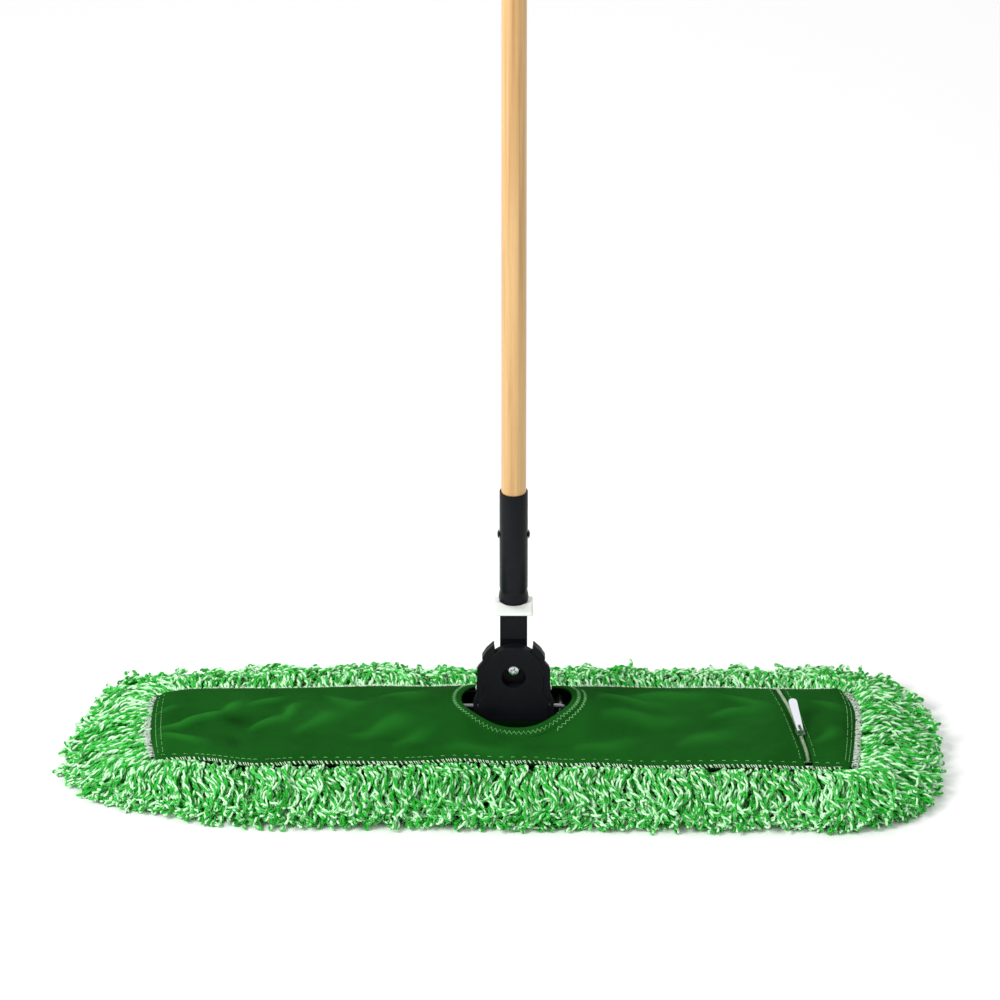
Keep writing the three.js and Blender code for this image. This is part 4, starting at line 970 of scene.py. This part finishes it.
def zip_tapes(height):
    """The woven tapes on either side of the coils, stitched under the panels."""
    for side, word in ((-1, "inner"), (1, "outer")):
        bm = bmesh.new()
        bmesh.ops.create_grid(bm, x_segments=5, y_segments=60, size=1)
        for v in bm.verts:
            across = 4.9 + 4.1 * v.co.x
            along = (ZIP_START + ZIP_END) / 2 + (ZIP_END - ZIP_START) / 2 * v.co.y
            x, y = zip_place(side * across, along)
            place = pocket_point(x, y)
            v.co = (place.x, place.y, chain_level(x, y) - 0.5 + 0.12 * math.sin(along / 5))
        bmesh.ops.recalc_face_normals(bm, faces=bm.faces)
        thickened(bm, f"zip_tape_{word}_cloth", "mop_pad", "tape", (f"zip_tape_{word}",), 0.7)
    lines = []
    for side in (-1, 1):
        run = [zip_place(side * (CLOTH_GAP + 3.6), along)
               for along in np.linspace(ZIP_START + 4, ZIP_END - 2, 12)]
        lines += dashes([tuple(pocket_point(*place).xy) for place in run], height, 2.6, 1.8)
    finished("zip_stitching", threads("zip_stitching", lines, 0.26, 0), "stitch", "mop_pad")


def zip_hardware():
    refined("zip_slider", "zip_paint", "zip_slider", 0.3)
    refined("zip_pull", "pull_white", "zip_pull", 0.45)


# ---------------------------------------------------------------- yarn
PLY_RADIUS = 1.15
TWIST_RADIUS = 1.05
TWIST_PITCH = 15.5
LOOP_END = 4.5                          # how far a loop's end reaches past its twisted part
BEND, CURL = 0.62, 1.6                  # how far a strand turns on its way, and at its end
FRINGE_CHUNK = 335                      # strands in one mesh
ROOT_INSET = 26

# how far the fringe spreads on the floor, from its front left corner round by its right end
FRINGE_SHAPE = np.array((
    (-300, -147), (-234, -159), (-150, -158), (-60, -161), (40, -163), (130, -164), (220, -166), (304, -166),
    (345, -160), (387, -133), (408, -98), (415, -60), (414, 25), (401, 82), (380, 112), (352, 145),
    (310, 158), (230, 162), (120, 158), (0, 160), (-120, 165), (-200, 162), (-262, 160), (-330, 150),
    (-378, 136), (-406, 96), (-421, 42), (-436, 0), (-441, -49), (-418, -90), (-382, -114), (-334, -133)), float)
SHAPE_SIDES = np.roll(FRINGE_SHAPE, -1, axis=0) - FRINGE_SHAPE
SHAPE_PLACES = np.r_[0, np.cumsum(np.linalg.norm(SHAPE_SIDES, axis=1))]
SHAPE_CLOSED = np.vstack([FRINGE_SHAPE, FRINGE_SHAPE[:1]])


def fringe_outline(s):
    """A place on the fringe's outer outline at a share of its length."""
    d = (s % 1) * SHAPE_PLACES[-1]
    return tuple(float(np.interp(d, SHAPE_PLACES, SHAPE_CLOSED[:, k])) for k in (0, 1))


def beyond(x, y):
    """How far places lie outside the fringe's outline; inside it is below zero."""
    nearest = np.full(x.shape, 1e9)
    inside = np.zeros(x.shape, bool)
    for (px, py), (ux, uy) in zip(FRINGE_SHAPE, SHAPE_SIDES):
        t = np.clip(((x - px) * ux + (y - py) * uy) / (ux * ux + uy * uy), 0, 1)
        nearest = np.minimum(nearest, np.hypot(x - px - ux * t, y - py - uy * t))
        crossing = (py > y) != (py + uy > y)
        inside ^= crossing & (x < px + ux * (y - py) / (uy if uy else 1e-9))
    return np.where(inside, -nearest, nearest)


def strands(rng, roots, headings, lengths, root_z, tip_z, lift, steps=34):
    """Paths of doubled-back twisted yarns, as an array of strand, point and place.
    Each leaves its root in its heading, wanders, droops to its tip and comes back twisted round itself."""
    count = len(roots)
    s = np.linspace(0, 1, steps)[None, :]

    def draw(low, high):
        return rng.uniform(low, high, (count, 1))
    place = np.asarray(roots)
    clump = 0.9 * np.sin(place[:, :1] / 23) + 0.8 * np.sin(place[:, 1:2] / 19) + place[:, :1] / 70
    bend = np.sin(TAU * (draw(1.2, 1.9) * s + draw(-0.16, 0.16)) + clump)
    turn = BEND * bend * np.minimum(1, 4 * s) * draw(0.6, 1.2)
    turn = turn + draw(-0.3, 0.3) * s
    hook = np.clip((s - draw(0.66, 0.85)) / 0.2, 0, 1)
    turn = turn + draw(-CURL, CURL) * hook ** 1.5
    heading = np.asarray(headings)[:, None] + turn
    step = (np.asarray(lengths) / (steps - 1))[:, None]
    run_x, run_y = np.cumsum(np.cos(heading), 1) * step, np.cumsum(np.sin(heading), 1) * step
    x0, y0 = place[:, :1], place[:, 1:2]
    outside = beyond(x0 + run_x, y0 + run_y).max(axis=1, keepdims=True) + LOOP_END - draw(-4, 2)
    shorter = 1 - np.clip(outside, 0, None) / np.asarray(lengths)[:, None]
    x, y = x0 + run_x * shorter, y0 + run_y * shorter
    z0, z3 = np.asarray(root_z)[:, None], np.asarray(tip_z)[:, None]
    z1 = z0 + np.asarray(lift)[:, None]
    z2 = z3 + draw(1, 8)
    z = z0 * (1 - s) ** 3 + 3 * z1 * s * (1 - s) ** 2 + 3 * z2 * s * s * (1 - s) + z3 * s ** 3
    z = z + draw(-1.2, 1.2) * np.sin(TAU * (s * draw(1, 2) + draw(0, 1))) + draw(-5, 5) * hook ** 2
    core = np.stack([x, y, np.maximum(z, PLY_RADIUS + TWIST_RADIUS + 0.2)], 2)
    ahead = np.gradient(core, axis=1)
    ahead /= np.linalg.norm(ahead, axis=2, keepdims=True)
    sideways = np.cross(ahead, np.array([0, 0, 1.0]))
    sideways /= np.linalg.norm(sideways, axis=2, keepdims=True)
    upward = np.cross(sideways, ahead)
    angle = TAU * (s * np.asarray(lengths)[:, None] / TWIST_PITCH * draw(0.85, 1.2) + draw(0, 1))
    offset = sideways * np.cos(angle)[:, :, None] + upward * np.sin(angle)[:, :, None]
    out, back = core + TWIST_RADIUS * offset, (core - TWIST_RADIUS * offset)[:, ::-1]
    tips = []
    reach, width = draw(2.0, LOOP_END), draw(1.5, 2.6)
    for phi in np.radians((25, 60, 95, 130, 160)):
        tips.append(core[:, -1] + ahead[:, -1] * (reach * math.sin(phi)) + offset[:, -1] * (width * math.cos(phi)))
    path = np.concatenate([out, np.stack(tips, 1), back], 1)
    path[:, :, 2] = np.maximum(path[:, :, 2], PLY_RADIUS)
    return path


def yarn_piece(name, paths, rng, stands_for=(), sides=4):
    """Strands as one mesh, with a streak value along each ply and a tone for each strand."""
    mesh = threads(name, paths, PLY_RADIUS, 0)
    count, points = paths.shape[:2]
    if len(mesh.vertices) != count * points * sides:
        raise RuntimeError(f"{name}: {len(mesh.vertices)} vertices, not {count * points * sides}")
    u = np.arange(points)[None, :]
    phase = rng.uniform(0, TAU, (count, 3))
    waves = (np.sin(u * 0.9 + phase[:, :1]) + 0.7 * np.sin(u * 0.47 + phase[:, 1:2])
             + 0.3 * np.sin(u * 2.3 + phase[:, 2:3]))
    pale_ply = np.where(u < points // 2, 0.60, 0.24)
    streak = np.clip(pale_ply + 0.2 * waves + rng.normal(0, 0.12, (count, 1)), 0, 1)
    tone = np.repeat(np.clip(rng.normal(0.5, 0.22, (count, 1)), 0, 1), points, 1)
    for label, values in (("streak", streak), ("tone", tone)):
        attribute = mesh.attributes.new(label, "FLOAT", "POINT")
        attribute.data.foreach_set("value", np.repeat(values.ravel(), sides).astype(np.float32))
    return finished(name, mesh, "yarn", "mop_pad", stands_for, sharp=180)


def fringe(total=2800):
    """The looped yarn round the pad, in layers that fan out from under its edge."""
    rng = np.random.default_rng(7)
    middle = (PAD_LOW.x + PAD_HIGH.x) / 2
    half = (PAD_HIGH.x - PAD_LOW.x) / 2
    groups = {"left": [], "right": [], "front": [], "back": []}
    for i in range(total):
        s = (i + rng.uniform(-0.5, 0.5)) / total
        tx, ty = fringe_outline(s)
        cx = min(max(tx, PAD_LOW.x + ROOT_INSET), PAD_HIGH.x - ROOT_INSET)
        cy = min(max(ty, ROOT_INSET - PAD_HALF), PAD_HALF - ROOT_INSET)
        away = math.hypot(tx - cx, ty - cy)
        ux, uy = (tx - cx) / away, (ty - cy) / away
        level = rng.beta(1.9, 0.9)
        inset = ROOT_INSET / max(abs(ux), abs(uy)) * (0.55 + 0.43 * level)
        x, y = cx + ux * inset, cy + uy * inset
        inside = min(max(x, PAD_LOW.x), PAD_HIGH.x)
        wander = eased(FRONT_WANDER if y < 0 else BACK_WANDER, inside)
        y += wander * min(1, abs(y) / PAD_HALF) ** 2 * min(1, max(0, (half - abs(x - middle)) / 20 + 0.5))
        heading = math.atan2(uy, ux) + 0.09 * math.sin(19 * TAU * s + 1.0) + rng.normal(0, 0.17)
        reach = (math.hypot(tx - x, ty - y) - LOOP_END) * rng.uniform(0.84, 1.04)
        word = "left" if tx < PAD_LOW.x else "right" if tx > PAD_HIGH.x else "front" if ty < 0 else "back"
        root_z = 6 + (29 if word == "back" else 26) * level
        tip_z = 3 + level * rng.uniform(1, 18) * (0.8 if word == "back" else 1)
        groups[word].append((x, y, heading, reach, root_z, tip_z, 1 + (16 if word == "back" else 13) * level ** 2))
    for word, rows in groups.items():
        data = rng.permutation(np.array(rows))
        chunks = np.array_split(data, math.ceil(len(data) / FRINGE_CHUNK))
        for k, part in enumerate(chunks):
            paths = strands(rng, part[:, :2], *part[:, 2:].T)
            name = f"yarn_{word}_loops" + (f"_{k + 1}" if len(chunks) > 1 else "")
            yarn_piece(name, paths, rng, (f"yarn_{word}",))


def pile():
    """Rows of shorter loops sewn to the underside of the base cloth."""
    rng = np.random.default_rng(9)
    rows = []
    for y in np.linspace(-PAD_HALF + 12, PAD_HALF - 12, 8):
        for x in np.arange(PAD_LOW.x + 10, PAD_HIGH.x - 8, 9.5):
            heading = rng.choice((-1, 1)) * TAU / 4 + rng.normal(0, 0.5)
            rows.append((x + rng.uniform(-3, 3), y, heading, rng.uniform(22, 34), 28.5, rng.uniform(3, 7), -6))
    data = np.array(rows)
    paths = strands(rng, data[:, :2], *data[:, 2:].T, steps=13)
    yarn_piece("yarn_pile_loops", paths, rng, ("yarn_pile",))


# ---------------------------------------------------------------- stage
def stage():
    """A plain pale floor, soft studio lights and the camera."""
    bm = bmesh.new()
    bmesh.ops.create_grid(bm, x_segments=1, y_segments=1, size=20)
    mesh = bpy.data.meshes.new("floor")
    bm.to_mesh(mesh)
    bm.free()
    material = bpy.data.materials.new("floor")
    material.use_nodes = True
    shader = next(n for n in material.node_tree.nodes if n.type == "BSDF_PRINCIPLED")
    shader.inputs["Base Color"].default_value = (0.98, 0.98, 0.98, 1)
    shader.inputs["Roughness"].default_value = 0.8
    shader.inputs["Specular IOR Level"].default_value = 0.1
    mesh.materials.append(material)
    floor = bpy.data.objects.new("floor", mesh)
    scene.collection.objects.link(floor)

    world = bpy.data.worlds.new("studio")
    world.use_nodes = True
    backdrop = next(n for n in world.node_tree.nodes if n.type == "BACKGROUND")
    backdrop.inputs["Color"].default_value = (1, 1, 1, 1)
    backdrop.inputs["Strength"].default_value = 0.5
    scene.world = world
    for name, place, aim, size, power in (
            ("key", (-2.5, -1.6, 2.5), (0, 0, 0.1), 1.6, 118), ("fill", (2.4, -1.8, 2.4), (0, 0, 0.1), 2.2, 24),
            ("rim", (0.4, 2.6, 2.6), (0, 0, 0.2), 1.8, 24)):
        lamp = bpy.data.lights.new(name, "AREA")
        lamp.energy = power
        lamp.size = size
        light = bpy.data.objects.new(name, lamp)
        light.location = place
        light.rotation_mode = "QUATERNION"
        light.rotation_quaternion = (Vector(aim) - Vector(place)).to_track_quat("-Z", "Y")
        scene.collection.objects.link(light)
    scene.view_settings.view_transform = "Standard"

    lens = bpy.data.cameras.new("camera")
    lens.lens = 304
    lens.sensor_width = 36
    lens.clip_end = 60
    camera = bpy.data.objects.new("camera", lens)
    aim = Vector((-0.013, 0, 0.2737))
    elevation, distance = math.radians(27), 8.0
    camera.location = aim + Vector((0, -math.cos(elevation), math.sin(elevation))) * distance
    camera.rotation_euler = (math.radians(90) - elevation, 0, 0)
    scene.collection.objects.link(camera)
    scene.camera = camera


# ---------------------------------------------------------------- the mop
for build in (stage, handle, ferrule, lock_ring, neck, front_cover, head_body):
    build()
latch(-1, "left")
latch(1, "right")
for build in (bolt, hardware, wires):
    build()
pocket, pocket_end, base_canvas = canvas()
level = surface_of(pocket, pocket_end)
hem, zigzag = hole_hem(level)
seams = stitching(level)
bindings()
zip_tapes(level)
for build in (zip_coils, zip_hardware, fringe, pile):
    build()
